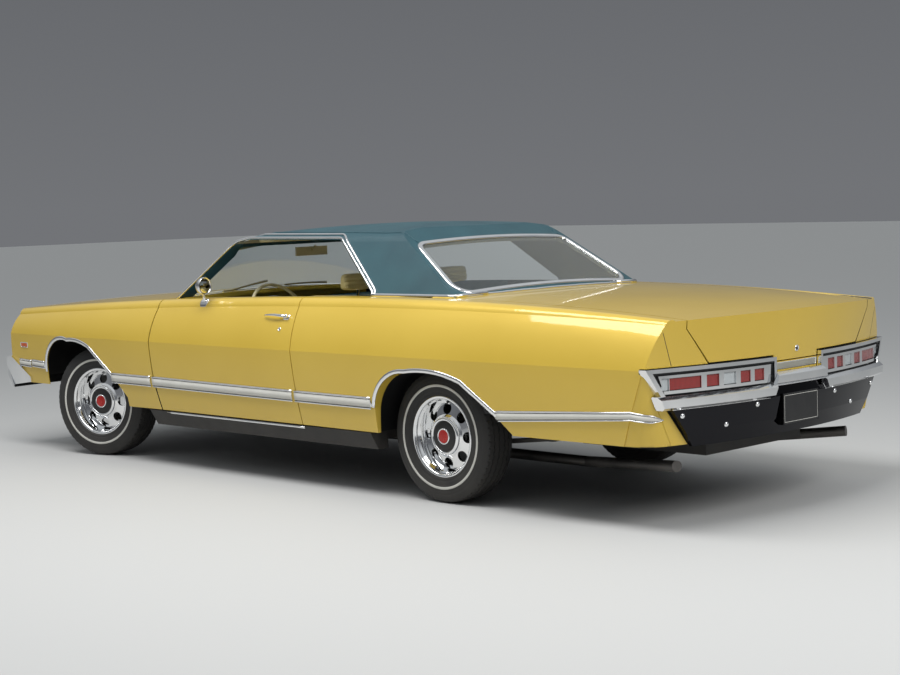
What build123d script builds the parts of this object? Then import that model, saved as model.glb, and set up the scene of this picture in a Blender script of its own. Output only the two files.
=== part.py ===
from build123d import *
import math
import os

# A full-size two-door hardtop coupe with a vinyl roof, as separate panels, glass, running gear and cabin pieces.
# Millimetres. X runs rearward, Y to the car's right, Z up. The origin is on the ground, midway along the car.

# Overall size
LENGTH = 5645.0
WHEELBASE = 3099.0
FRONT_OVERHANG = 920.0
HEIGHT = 1432.0
FRONT_TRACK = 1577.0
REAR_TRACK = 1542.0

# Body side
CREASE_Z = 760.0
SILL_Z = 250.0
ROCKER_Z = 345.0
ROCKER_TUCK = 48.0
SILL_LEAN = 0.58
SIDE_BULGE = 9.0
SHOULDER_BULGE = 11.0
ROLL_BULGE = 14.0
SHUT_GAP = 6.0
FENDER_DOOR_GAP = 10.0
FENDER_SKIN = 5.0
FENDER_LOW_Z = 440.0
QUARTER_LOW_Z = 405.0
PANEL_SKIN = 20.0
TAIL_SKIN = 30.0
HOOD_SKIN = 25.0
LID_SKIN = 28.0

# Nose and tail, bowed in plan and leaning
NOSE_SETBACK = 62.0
TAIL_SETBACK = 46.0
NOSE_BOW_RADIUS = 7200.0
TAIL_BOW_RADIUS = 3300.0
TAIL_TILT = 5.0
NOSE_TILT = 3.0

# Doors
DOOR_LENGTH = 1305.0
DOOR_FROM_AXLE = 785.0
DOOR_BOTTOM_Z = 352.0
DOOR_CREASE_Y = 1002.0
DOOR_SKIN = 8.0
DOOR_FRAME_STEP = 24.0
DOOR_FRAME_LIFT = 14.0
HINGE_FROM_EDGE = 60.0
HINGE_INSET = 44.0
HINGE_FRAME_GAP = 25.0
HINGE_HEIGHTS = (500.0, 790.0)
HINGE_BARREL_R = 9.0
HINGE_PIN_R = 5.0
HINGE_KNUCKLE = 26.0
PILLAR_TOP_Z = 806.0
PIN_CLEARANCE = 0.3

# Cabin shell
CABIN_HALF = 830.0
REAR_CABIN_HALF = 780.0
COWL_HALF = 826.0
COWL_DOOR_HALF = 806.0
WALL = 22.0
FLOOR_Z = 300.0
FLOOR_THICK = 25.0
REAR_FLOOR_Z = 515.0
TUNNEL_HALF = 130.0
TUNNEL_Z = 440.0
TUNNEL_WALL = 18.0
FIREWALL_FROM_DOOR = -60.0
BULKHEAD_FROM_AXLE = -20.0
KICK_FROM_AXLE = -580.0
WHEELHOUSE_INNER = 620.0
WHEELHOUSE_RADIUS = 405.0
ARCH_LIP_Y = 938.0

# Lids
COWL_DEPTH = 166.0
HOOD_HALF_FRONT = 740.0
HOOD_HALF_REAR = 790.0
LID_FROM_BACKLIGHT = 75.0
LID_HALF = 762.0
LID_BEND_Z = 940.0
LID_HALF_LOW = 622.0
LID_LOW_Z = 775.0
LID_TAB_HALF = 184.0
LID_TAB_Z = 746.0

# Greenhouse
ROOF_EDGE_Y = 660.0
ROOF_EDGE_Z = 1340.0
ROOF_FLAT_Y = 560.0
ROOF_FLAT_Z = 1397.0
ROOF_CORNER_BULGE = 16.0
ROOF_PEAK_FROM_AXLE = 2114.0
ROOF_PROFILE_RADIUS = 4700.0
ROOF_TAPER = 0.062
BELT_Y = 815.0
BELT_Z = 1040.0
ROOF_WALL = 34.0
SEAM_Z = 1330.0
WINDSHIELD_ANGLE = 39.0
WINDSHIELD_RADIUS = 3450.0
WINDSHIELD_FROM_AXLE = 694.0
WINDSHIELD_BASE_Z = 1010.0
BACKLIGHT_ANGLE = 31.0
BACKLIGHT_RADIUS = 8000.0
BACKLIGHT_FROM_AXLE = 3119.0
BACKLIGHT_BASE_Z = 1090.0
GLASS = 6.0

# Tail lamps and rear bumper: heights, and widths measured from the car's middle
BEZEL_LOW_Z = 650.0
BEZEL_HIGH_Z = 735.0
BEZEL_BACK = -18.0
BEZEL_FRONT = 14.0
LENS_LOW_Z = 667.0
LENS_HIGH_Z = 720.0
LENS_FRONT = 6.0
LENS_GAP = 2.0
LOOP_WIDTH = 18.0
LOOP_TOP_Z = 768.0
LOOP_INNER_Y = 190.0
LOOP_BACK = -20.0
LOOP_FRONT = 24.0
BAR_LOW_Z = 578.0
BAR_HIGH_Z = 642.0
BAR_RISE = 54.0
BAR_END_Y = 945.0
BUMPER_LOW_Z = 395.0
BUMPER_BEND_Y = 866.0
BUMPER_BEND_Z = 585.0
BUMPER_LOW_Y = 718.0
PLATE_HOLE_SPACING = 178.0
PLATE_HOLE_R = 3.5
PLATE_HALF = 152.0
PLATE_LOW_Z = 437.0
PLATE_HIGH_Z = 588.0
PLATE_HOLE_Z = 568.0
PLATE_FRONT = 24.0

# Front end
GRILLE_HALF = 945.0
GRILLE_LOW_Z = 570.0
GRILLE_HIGH_Z = 788.0
GRILLE_BARS = 8
GRILLE_BAR = 7.0
LAMP_RADIUS = 73.0
LAMP_RING = 12.0
LAMP_Z = 682.0
LAMP_YS = (-800.0, -625.0, 625.0, 800.0)
FRONT_BUMPER_HALF = 962.0
SUPPORT_FROM_NOSE = 175.0

# Wheels and axles
TYRE_RADIUS = 345.0
TYRE_WIDTH = 205.0
TYRE_SIDES = 60
RIM_RADIUS = 212.0
RIM_WIDTH = 165.0
HUB_BORE_R = 24.0
WHEEL_HOLES = 8
WHEEL_HOLE_RADIUS = 29.0
WHEEL_HOLE_CIRCLE = 141.0
STEER_AT_REST = 16.0
KINGPIN_INSET = 76.0
POST_R = 26.0
POST_LOW_Z = 241.0
POST_HIGH_Z = 449.0
BALL_PIN_R = 12.0
BALL_PIN_DEPTH = 34.0
ARM_GAP = 6.0
ARM_THICK = 26.0
AXLE_TUBE_R = 42.0
DIFFERENTIAL_R = 128.0
SPRING_Y = 560.0
SPRING_HALF = 32.0

# Frame, engine and exhaust
RAIL_INNER = 395.0
RAIL_OUTER = 445.0
PIPE_R = 27.0
PIPE_Z = 215.0
MUFFLER_R = 62.0
MUFFLER_Z = 205.0

# Cabin furniture
FRONT_SEAT_FROM_AXLE = 1370.0
SEAT_HALF = 700.0
REAR_SEAT_HALF = 600.0
DRIVER_Y = 380.0
STEERING_FROM_AXLE = 1270.0
STEERING_Z = 900.0
STEERING_RADIUS = 195.0
STEERING_GRIP_R = 10.0
COLUMN_ANGLE = 28.0
COLUMN_PIN_R = 12.0
CABIN_MIRROR_FROM_AXLE = 1139.0
DOOR_MIRROR_FROM_AXLE = 1255.0

FRONT_END_X = -LENGTH / 2
REAR_END_X = LENGTH / 2
FRONT_AXLE_X = FRONT_END_X + FRONT_OVERHANG
REAR_AXLE_X = FRONT_AXLE_X + WHEELBASE
NOSE_X = FRONT_END_X + NOSE_SETBACK
TAIL_X = REAR_END_X - TAIL_SETBACK
DOOR_FRONT_X = FRONT_AXLE_X + DOOR_FROM_AXLE
DOOR_REAR_X = DOOR_FRONT_X + DOOR_LENGTH
HINGE_X = DOOR_FRONT_X + HINGE_FROM_EDGE
HINGE_Y = DOOR_CREASE_Y - HINGE_INSET
FIREWALL_X = DOOR_FRONT_X + FIREWALL_FROM_DOOR
BULKHEAD_X = REAR_AXLE_X + BULKHEAD_FROM_AXLE
KICK_X = REAR_AXLE_X + KICK_FROM_AXLE
HOOD_REAR_X = DOOR_FRONT_X - COWL_DEPTH
WINDSHIELD_X = FRONT_AXLE_X + WINDSHIELD_FROM_AXLE
BACKLIGHT_X = FRONT_AXLE_X + BACKLIGHT_FROM_AXLE
LID_FRONT_X = BACKLIGHT_X + LID_FROM_BACKLIGHT
ROOF_PEAK_X = FRONT_AXLE_X + ROOF_PEAK_FROM_AXLE
FRONT_WHEEL_Y = FRONT_TRACK / 2
REAR_WHEEL_Y = REAR_TRACK / 2
KINGPIN_Y = FRONT_WHEEL_Y - KINGPIN_INSET
SPINDLE_R = HUB_BORE_R - PIN_CLEARANCE
FAR = 4000.0
LIDS_FROM_Z = 800.0
ABOVE_BELT_Z = 1120.0

# Body sections from nose to tail: station, half width at the crease, shoulder, top edge, height at the centre
SECTIONS = [
    # x, crease_y, shoulder_y, shoulder_z, edge_y, edge_z, centre_z
    (FRONT_END_X - 40, 972, 892, 868, 838, 905, 925),
    (FRONT_AXLE_X + 484, 998, 910, 946, 850, 993, 1020),
    (FRONT_AXLE_X + 1884, 1006, 908, 992, 847, 1042, 1060),
    (REAR_AXLE_X + 185, 1000, 900, 1000, 836, 1045, 1063),
    (REAR_END_X + 40, 980, 880, 954, 830, 962, 980),
]

# Shut lines of the door, as (x, z) points from the top down
DOOR_FRONT_LINE = [
    (DOOR_FRONT_X - 11, ABOVE_BELT_Z), (DOOR_FRONT_X, CREASE_Z), (DOOR_FRONT_X + 14, 540),
    (DOOR_FRONT_X + 55, DOOR_BOTTOM_Z),
]
DOOR_REAR_LINE = [(DOOR_REAR_X - 35, ABOVE_BELT_Z), (DOOR_REAR_X, CREASE_Z), (DOOR_REAR_X + 35, DOOR_BOTTOM_Z)]

# Wheel arches, as (x from the axle, z): up the front, over the top by two arcs, and down the back
FRONT_ARCH = [(-384, 480), (-379, 544), (-322, 678), (-115, 729), (9, 727), (117, 696), (409, 486), (490, 405)]
REAR_ARCH = [(-368, 400), (-364, 485), (-300, 608), (-120, 677), (30, 687), (269, 644), (516, 476), (590, 410)]

# Rounding of the tail's corners below the crease, sharp at the top and fuller towards the ground
TAIL_CORNERS = [
    # height, half width of the side there, radius
    (775, 984, 8), (580, 971, 98), (395, 945, 185),
]

# Tail-lamp lenses of one side: outer and inner width from the car's middle
LENSES = [(902, 866), (860, 683), (647, 575), (543, 467), (433, 370), (338, 274)]


def box(x0, x1, y0, y1, z0, z1):
    """A block between two corners."""
    return Pos((x0 + x1) / 2, (y0 + y1) / 2, (z0 + z1) / 2) * Box(x1 - x0, y1 - y0, z1 - z0)


def side_prism(points, y0, y1):
    """A side-view (x, z) outline, carried across the car from y0 to y1."""
    outline = Polyline(*[(x, y0, z) for x, z in points], close=True)
    return extrude(make_face(outline), amount=y1 - y0, dir=(0, 1, 0))


def plan_prism(points, z0, z1):
    """A plan (x, y) outline, carried up from z0 to z1."""
    outline = Polyline(*[(x, y, z0) for x, y in points], close=True)
    return extrude(make_face(outline), amount=z1 - z0, dir=(0, 0, 1))


def front_prism(points, x0, x1):
    """A front-view (y, z) outline, carried along the car from x0 to x1."""
    outline = Polyline(*[(x0, y, z) for y, z in points], close=True)
    return extrude(make_face(outline), amount=x1 - x0, dir=(1, 0, 0))


def both_sides(points):
    """A front-view outline of the car's right half, from the middle outwards, closed by its mirror image."""
    return points + [(-y, z) for y, z in reversed(points)]


def rod(start, end, radius):
    """A round bar between two points."""
    path = Line(start, end)
    return extrude(Plane(origin=start, z_dir=path % 0) * Circle(radius), amount=path.length)


def across_rod(x, y, z, radius, length):
    """A round bar lying across the car."""
    return Pos(x, y, z) * Rot(90, 0, 0) * Cylinder(radius, length)


def along_rod(x, y, z, radius, length):
    """A round bar lying along the car."""
    return Pos(x, y, z) * Rot(0, 90, 0) * Cylinder(radius, length)


def mirrored(shape):
    """The same piece on the car's other side."""
    return mirror(shape, about=Plane.XZ)


def shifted(line, dx):
    return [(x + dx, z) for x, z in line]


def bulged(a, b, bulge):
    """The middle of a shallow arc from a to b in a body section, standing out by bulge."""
    (ya, za), (yb, zb) = a, b
    run = math.hypot(yb - ya, zb - za)
    out_y, out_z = (zb - za) / run, -(yb - ya) / run
    return ((ya + yb) / 2 + out_y * bulge, (za + zb) / 2 + out_z * bulge)


def body_section(row, inset):
    """One closed cross-section of the body: sills, sides up to the crease, shoulders and top."""
    x, crease_y, shoulder_y, shoulder_z, edge_y, edge_z, centre_z = row
    low_z = SILL_Z - 100
    rocker_y = crease_y - ROCKER_TUCK
    half = [
        (rocker_y - SILL_LEAN * (ROCKER_Z - low_z) - inset, low_z),
        (rocker_y - inset, ROCKER_Z),
        (crease_y - inset, CREASE_Z),
        (shoulder_y - inset, shoulder_z - inset * 0.5),
        (edge_y - inset * 0.5, edge_z - inset),
    ]
    bulges = [0, SIDE_BULGE, SHOULDER_BULGE, ROLL_BULGE]
    edges = []
    for side in (1, -1):
        for (a, b), bulge in zip(zip(half, half[1:]), bulges):
            start, end = (x, side * a[0], a[1]), (x, side * b[0], b[1])
            if bulge:
                mid_y, mid_z = bulged(a, b, bulge)
                edges.append(ThreePointArc(start, (x, side * mid_y, mid_z), end))
            else:
                edges.append(Line(start, end))
    sill, edge = half[0], half[-1]
    edges.append(Line((x, -sill[0], sill[1]), (x, sill[0], sill[1])))
    edges.append(
        ThreePointArc((x, -edge[0], edge[1]), (x, 0, centre_z - inset), (x, edge[0], edge[1]))
    )
    return make_face(edges)


def body_loft(inset=0.0):
    """The whole body form from past the nose to past the tail, drawn in by inset."""
    return loft([body_section(row, inset) for row in SECTIONS])


def bow_cylinder(end_x, radius, tilt, facing):
    """A great upright cylinder whose near side is the bowed nose (facing -1) or tail (facing +1)."""
    middle = Pos(end_x - facing * radius / math.cos(math.radians(tilt)), 0, CREASE_Z)
    return middle * Rot(0, tilt, 0) * Cylinder(radius, 3 * FAR)


def trimmed(shape, setback=0.0):
    """A body solid cut off by the bowed nose and tail, moved inwards by setback."""
    nose = bow_cylinder(NOSE_X + setback, NOSE_BOW_RADIUS, NOSE_TILT, -1)
    tail = bow_cylinder(TAIL_X - setback, TAIL_BOW_RADIUS, TAIL_TILT, 1)
    return shape & nose & tail


def bow_sector(profile, y0, y1, end_x, radius, facing):
    """An (offset, z) profile carried round the bowed nose or tail between two widths."""
    centre_x = end_x - facing * radius
    axis = Axis((centre_x, 0, 0), (0, 0, facing))
    outline = Polyline(*[(end_x + facing * off, 0, z) for off, z in profile], close=True)
    start = math.degrees(math.asin(y0 / radius))
    end = math.degrees(math.asin(y1 / radius))
    face = make_face(outline).rotate(axis, start)
    return revolve(face, axis, revolution_arc=end - start)


def tail_sector(profile, y0, y1):
    return bow_sector(profile, y0, y1, TAIL_X, TAIL_BOW_RADIUS, 1)


def nose_sector(profile, y0, y1):
    return bow_sector(profile, y0, y1, NOSE_X, NOSE_BOW_RADIUS, -1)


def rect(off0, off1, z0, z1):
    return [(off0, z0), (off1, z0), (off1, z1), (off0, z1)]


def arch_prism(axle_x, points):
    """The opening over a wheel, carried right across the car."""
    foot, front, rise, top, crest, fall, back, heel = [(axle_x + x, 0, z) for x, z in points]
    edges = [
        Line(foot, front),
        ThreePointArc(front, rise, top),
        ThreePointArc(top, crest, fall),
        Polyline(fall, back, heel, (heel[0], 0, 0), (foot[0], 0, 0), foot),
    ]
    return extrude(make_face(edges), amount=FAR, dir=(0, 1, 0), both=True)


NODES = {}

body = trimmed(body_loft())
hood_core = trimmed(body_loft(HOOD_SKIN), HOOD_SKIN)
lid_core = trimmed(body_loft(LID_SKIN), LID_SKIN)
panel_core = trimmed(body_loft(PANEL_SKIN), PANEL_SKIN)
tail_core = trimmed(body_loft(), TAIL_SKIN)
fender_core = body_loft(FENDER_SKIN)
door_core = body_loft(DOOR_SKIN)
front_arch = arch_prism(FRONT_AXLE_X, FRONT_ARCH)
rear_arch = arch_prism(REAR_AXLE_X, REAR_ARCH)


# Bonnet and front fenders
def hood_zone(grow):
    half_front, half_rear, rear_x = HOOD_HALF_FRONT + grow, HOOD_HALF_REAR + grow, HOOD_REAR_X + grow
    outline = [(-FAR, -half_front), (rear_x, -half_rear), (rear_x, half_rear), (-FAR, half_front)]
    return plan_prism(outline, LIDS_FROM_Z, FAR)


NODES["bonnet"] = (body & hood_zone(0)) - hood_core
cowl_hole = box(HOOD_REAR_X + SHUT_GAP, FAR, -CABIN_HALF, CABIN_HALF, LIDS_FROM_Z, FAR)
fender_outline = [
    (FRONT_END_X, FENDER_LOW_Z), (FRONT_AXLE_X, FENDER_LOW_Z), (FRONT_AXLE_X, ROCKER_Z),
    *reversed(shifted(DOOR_FRONT_LINE, -FENDER_DOOR_GAP)), (FRONT_END_X, ABOVE_BELT_Z),
]
fender = (body & side_prism(fender_outline, -FAR, -TUNNEL_HALF)) - fender_core - front_arch
fender = fender - hood_zone(SHUT_GAP) - cowl_hole
NODES["fender_left"] = fender
NODES["fender_right"] = mirrored(fender)

# Doors: a thick wall behind a skin that runs forward past the hinge pins
door_outline = [*DOOR_FRONT_LINE, *reversed(DOOR_REAR_LINE)]
frame_front = HINGE_X + HINGE_FRAME_GAP
frame_low = DOOR_BOTTOM_Z + DOOR_FRAME_LIFT
frame_rear = shifted(DOOR_REAR_LINE, -DOOR_FRAME_STEP)
door_frame = [
    (frame_front, ABOVE_BELT_Z), (frame_front, 470), (frame_front + 60, frame_low),
    (frame_rear[2][0], frame_low), frame_rear[1], frame_rear[0],
]
cabin_box = box(FIREWALL_X, BULKHEAD_X, -CABIN_HALF, CABIN_HALF, -FAR, FAR)
door_rim = door_core & (side_prism(door_outline, -FAR, 0) - side_prism(door_frame, -FAR, 0))
door = (body & side_prism(door_outline, -FAR, -TUNNEL_HALF)) - door_rim - cabin_box
for height in HINGE_HEIGHTS:
    pin_bore = Pos(HINGE_X, -HINGE_Y, height) * Cylinder(HINGE_PIN_R + PIN_CLEARANCE, HINGE_KNUCKLE * 4)
    for low in (height + HINGE_KNUCKLE / 2 + 1, height - HINGE_KNUCKLE * 1.5 - 1):
        barrel = Pos(HINGE_X, -HINGE_Y, low + HINGE_KNUCKLE / 2) * Cylinder(HINGE_BARREL_R, HINGE_KNUCKLE)
        leaf = box(HINGE_X, frame_front + 20, -HINGE_Y - 6, -HINGE_Y + 6, low, low + HINGE_KNUCKLE)
        door = door + ((barrel + leaf) - pin_bore)
NODES["door_left"] = door
NODES["door_right"] = mirrored(door)

# Cowl, firewall and the pillars that carry the door hinges
cowl_top = box(HOOD_REAR_X + SHUT_GAP, DOOR_FRONT_X + 110, -COWL_HALF, COWL_HALF, 880, FAR)
cowl_top = (body & cowl_top) - hood_core
for side in (-1, 1):
    door_side = (COWL_DOOR_HALF + CABIN_HALF) / 2 * side
    cowl_top -= Pos(DOOR_FRONT_X + 60, door_side, 1000) * Box(160, CABIN_HALF - COWL_DOOR_HALF, 400)
firewall = box(FIREWALL_X - WALL, FIREWALL_X, -CABIN_HALF, CABIN_HALF, FLOOR_Z, FAR) & hood_core
tunnel_door = TUNNEL_HALF + 25
firewall -= box(FIREWALL_X - 2 * WALL, FIREWALL_X + WALL, -tunnel_door, tunnel_door, 0, TUNNEL_Z + 125)
pillar = box(FIREWALL_X - WALL, HINGE_X + 15, -HINGE_Y + 50, -CABIN_HALF - 2, ROCKER_Z + 1, PILLAR_TOP_Z)
pillar += box(FIREWALL_X - WALL, FIREWALL_X + 8, -CABIN_HALF - 4, -CABIN_HALF + 4, ROCKER_Z + 1, PILLAR_TOP_Z)
for height in HINGE_HEIGHTS:
    low, high = height - HINGE_KNUCKLE / 2, height + HINGE_KNUCKLE / 2
    pillar += box(HINGE_X - 8, HINGE_X + 8, -HINGE_Y, -HINGE_Y + 60, low, high)
    pillar += Pos(HINGE_X, -HINGE_Y, height) * Cylinder(HINGE_BARREL_R, HINGE_KNUCKLE)
    pillar += Pos(HINGE_X, -HINGE_Y, height) * Cylinder(HINGE_PIN_R, HINGE_KNUCKLE * 3)
NODES["cowl"] = cowl_top + firewall + pillar + mirrored(pillar)

# Underbody: floor, tunnel, sills, rear kick-up, boot floor and wheelhouses
under_floor = FLOOR_Z - FLOOR_THICK
under_rear = REAR_FLOOR_Z - FLOOR_THICK
rear_half = REAR_CABIN_HALF - 2
floor = box(FIREWALL_X - WALL, KICK_X, -CABIN_HALF, CABIN_HALF, under_floor, FLOOR_Z)
tunnel_half_line = [(TUNNEL_HALF - 30, TUNNEL_Z), (TUNNEL_HALF + 20, FLOOR_Z - 5)]
tunnel = front_prism(both_sides(tunnel_half_line), FIREWALL_X, KICK_X)
tunnel_void = front_prism(
    both_sides([(TUNNEL_HALF - 45, TUNNEL_Z - TUNNEL_WALL), (TUNNEL_HALF, FLOOR_Z - 5), (TUNNEL_HALF, 0)]),
    FIREWALL_X - 200, KICK_X + 200)
riser = box(KICK_X - FLOOR_THICK, KICK_X, -rear_half, rear_half, under_floor, REAR_FLOOR_Z)
rear_floor = box(KICK_X - FLOOR_THICK, TAIL_X, -rear_half, rear_half, under_rear, REAR_FLOOR_Z) & tail_core
sill = body & box(FIREWALL_X - WALL, REAR_AXLE_X - 430, -FAR, -CABIN_HALF, SILL_Z, ROCKER_Z)
house_mid = -WHEELHOUSE_INNER - 110
house_void = across_rod(REAR_AXLE_X, house_mid - FLOOR_THICK, TYRE_RADIUS, WHEELHOUSE_RADIUS, 220)
house = across_rod(REAR_AXLE_X, house_mid, TYRE_RADIUS, WHEELHOUSE_RADIUS + FLOOR_THICK, 220) - house_void
house = house & box(-FAR, FAR, -rear_half, 0, under_rear, FAR)
rear_floor = rear_floor - house_void - mirrored(house_void)
under = (floor + tunnel + riser) - tunnel_void
NODES["underbody"] = under + rear_floor + sill + mirrored(sill) + house + mirrored(house)


# Quarter panels, boot lid, deck below the back window, bulkhead and tail panel
def lid_zone(grow):
    half = [
        (LID_TAB_HALF + grow, LID_TAB_Z - grow), (LID_TAB_HALF + grow, LID_LOW_Z - grow),
        (LID_HALF_LOW + grow, LID_LOW_Z - grow), (LID_HALF + grow, LID_BEND_Z), (LID_HALF + grow, FAR),
    ]
    return front_prism(both_sides(half), LID_FRONT_X - grow, FAR)


def tail_zone(shrink):
    """The lower tail between the two quarters, slanting in towards the bottom."""
    half = [
        (1003 - shrink, LOOP_TOP_Z + 3), (BUMPER_BEND_Y - shrink, BUMPER_BEND_Z),
        (BUMPER_LOW_Y - shrink, BUMPER_LOW_Z), (BUMPER_LOW_Y - shrink, 0),
    ]
    return front_prism(both_sides(half), TAIL_X - 400, FAR)


def tail_corner():
    """What is cut off the left corner of the tail to round it, fuller towards the ground."""
    blocks, cores = [], []
    for z, side_y, radius in TAIL_CORNERS:
        slope = math.asin(side_y / TAIL_BOW_RADIUS)
        corner_x = TAIL_X - TAIL_BOW_RADIUS * (1 - math.cos(slope)) + (z - CREASE_Z) * math.tan(math.radians(TAIL_TILT))
        reach = radius * math.tan((math.pi / 2 - slope) / 2)
        centre_x, centre_y = corner_x - reach, radius - side_y
        cores.append(Pos(centre_x, centre_y, z) * Circle(radius))
        tail_x = centre_x + radius * math.cos(slope)
        tail_y = centre_y - radius * math.sin(slope)
        blocks.append(make_face(Polyline(
            (centre_x, centre_y, z), (centre_x, -side_y - 100, z), (tail_x + 300, -side_y - 100, z),
            (tail_x + 300 * math.cos(slope), tail_y - 300 * math.sin(slope), z), close=True)))
    return loft(blocks, ruled=True) - loft(cores, ruled=True)


quarter_outline = [
    *shifted(DOOR_REAR_LINE, SHUT_GAP), (REAR_AXLE_X, DOOR_BOTTOM_Z - 4), (REAR_AXLE_X, QUARTER_LOW_Z),
    (REAR_END_X, QUARTER_LOW_Z), (REAR_END_X, ABOVE_BELT_Z),
]
rear_cabin = box(-FAR, BULKHEAD_X, -REAR_CABIN_HALF, REAR_CABIN_HALF, -FAR, FAR)
hollow = panel_core & box(BULKHEAD_X, FAR, -FAR, FAR, -FAR, FAR)
deck_hole = box(BULKHEAD_X - 100, LID_FRONT_X, -REAR_CABIN_HALF, REAR_CABIN_HALF, 900, FAR)
tail_hole = tail_zone(0) - trimmed(body_loft(-40), TAIL_SKIN)
well_length = ARCH_LIP_Y - WHEELHOUSE_INNER
well_mid = -WHEELHOUSE_INNER - well_length / 2
well = across_rod(REAR_AXLE_X, well_mid, TYRE_RADIUS, WHEELHOUSE_RADIUS - 3, well_length)
quarter = (body & side_prism(quarter_outline, -FAR, -TUNNEL_HALF)) - rear_cabin - hollow
quarter = quarter - lid_zone(SHUT_GAP) - deck_hole - tail_hole - rear_arch - well - tail_corner()
NODES["boot_lid"] = (body & lid_zone(0)) - lid_core
deck = box(BULKHEAD_X - 110, LID_FRONT_X - SHUT_GAP, -rear_half, rear_half, 900, FAR)
deck = (body & deck) - panel_core
wall_half = WHEELHOUSE_INNER - 2
bulkhead = body & box(BULKHEAD_X, BULKHEAD_X + WALL, -wall_half, wall_half, REAR_FLOOR_Z, FAR)
NODES["rear_deck"] = deck + bulkhead
tail_band = box(TAIL_X - 400, FAR, -FAR, FAR, BUMPER_LOW_Z + 8, LID_LOW_Z - SHUT_GAP)
tail_panel = (body & tail_zone(2) & tail_band) - tail_core - lid_zone(SHUT_GAP)

# Greenhouse: a crowned roof on leaning sides, cut by the two curved glass surfaces
wind_a, back_a = math.radians(WINDSHIELD_ANGLE), math.radians(BACKLIGHT_ANGLE)


def greenhouse_section(x, inset):
    """One cross-section of the greenhouse; behind the peak of the roof the sides draw in."""
    draw_in = inset + ROOF_TAPER * max(0.0, x - ROOF_PEAK_X)
    lean = (BELT_Y - ROOF_EDGE_Y) / (ROOF_EDGE_Z - BELT_Z)
    drop = 80
    base = (BELT_Y + drop * lean - draw_in, BELT_Z - drop)
    rail = (ROOF_EDGE_Y - draw_in, ROOF_EDGE_Z)
    flat = (ROOF_FLAT_Y - draw_in + inset / 2, ROOF_FLAT_Z - inset)
    corner = bulged(rail, flat, ROOF_CORNER_BULGE)
    edges = [Line((x, -base[0], base[1]), (x, base[0], base[1]))]
    for side in (1, -1):
        edges.append(Line((x, side * base[0], base[1]), (x, side * rail[0], rail[1])))
        edges.append(ThreePointArc((x, side * rail[0], rail[1]), (x, side * corner[0], corner[1]),
                                   (x, side * flat[0], flat[1])))
    edges.append(ThreePointArc((x, -flat[0], flat[1]), (x, 0, HEIGHT - inset), (x, flat[0], flat[1])))
    return make_face(edges)


def greenhouse(inset):
    stations = [FRONT_AXLE_X, ROOF_PEAK_X, REAR_AXLE_X + 700]
    across = loft([greenhouse_section(x, inset) for x in stations], ruled=True)
    peak_z = HEIGHT - inset
    crown = across_rod(ROOF_PEAK_X, 0, peak_z - ROOF_PROFILE_RADIUS, ROOF_PROFILE_RADIUS, 2 * FAR)
    wind_centre = (WINDSHIELD_X + WINDSHIELD_RADIUS * math.sin(wind_a), 0,
                   WINDSHIELD_BASE_Z - WINDSHIELD_RADIUS * math.cos(wind_a))
    wind_plane = Plane(origin=wind_centre, z_dir=(math.cos(wind_a), 0, math.sin(wind_a)))
    back_centre = (BACKLIGHT_X - BACKLIGHT_RADIUS * math.sin(back_a), 0,
                   BACKLIGHT_BASE_Z - BACKLIGHT_RADIUS * math.cos(back_a))
    back_plane = Plane(origin=back_centre, z_dir=(-math.cos(back_a), 0, math.sin(back_a)))
    wind = wind_plane * Cylinder(WINDSHIELD_RADIUS - inset, 2 * FAR)
    back = back_plane * Cylinder(BACKLIGHT_RADIUS - inset, 2 * FAR)
    return across & crown & wind & back


def glass_opening(origin, x_dir, normal, points, radius):
    """A rounded opening seen square to a glass surface, carried through it both ways."""
    outline = FilletPolyline(*points, radius=radius, close=True)
    plane = Plane(origin=origin, x_dir=x_dir, z_dir=normal)
    return extrude(plane * make_face(outline.edges()), amount=320, both=True)


wind_open = glass_opening(
    (WINDSHIELD_X, 0, WINDSHIELD_BASE_Z), (0, -1, 0), (-math.sin(wind_a), 0, math.cos(wind_a)),
    [(-768, 34), (768, 34), (592, 520), (-592, 520)], 60)
back_open = glass_opening(
    (BACKLIGHT_X, 0, BACKLIGHT_BASE_Z), (0, 1, 0), (math.sin(back_a), 0, math.cos(back_a)),
    [(-692, 8), (692, 8), (582, 484), (-582, 484)], 60)
SIDE_WINDOW = [(844, 985), (1244, 1356), (2146, 1352), (2516, 1068), (2516, 985)]
window_line = [(FRONT_AXLE_X + x, 0, z) for x, z in SIDE_WINDOW]
window_top = FilletPolyline(*window_line, radius=(230, 60, 25))
window_base = Line(window_line[-1], window_line[0])
side_open = extrude(make_face([*window_top.edges(), window_base]), amount=FAR, dir=(0, 1, 0), both=True)
cabin_top = greenhouse(0)
cabin_shell = cabin_top - greenhouse(ROOF_WALL) - wind_open - back_open - side_open
NODES["roof_panel"] = cabin_shell & box(-FAR, FAR, -FAR, FAR, SEAM_Z, FAR)
lower_shell = (cabin_shell & box(-FAR, FAR, -FAR, FAR, 0, SEAM_Z)) - body
between_pillars = box(-FAR, ROOF_PEAK_X, -600, 600, 0, FAR)
NODES["windshield_pillars"] = (lower_shell & box(-FAR, ROOF_PEAK_X, -FAR, FAR, 0, FAR)) - between_pillars
NODES["sail_panels"] = lower_shell & box(ROOF_PEAK_X, FAR, -FAR, FAR, 0, FAR)
glass_layer = cabin_top - greenhouse(GLASS)
panes = [(glass_layer & opening) - body for opening in (wind_open, back_open)]
NODES["window_glass"] = Compound([pane.solids()[0] for pane in panes])

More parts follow.
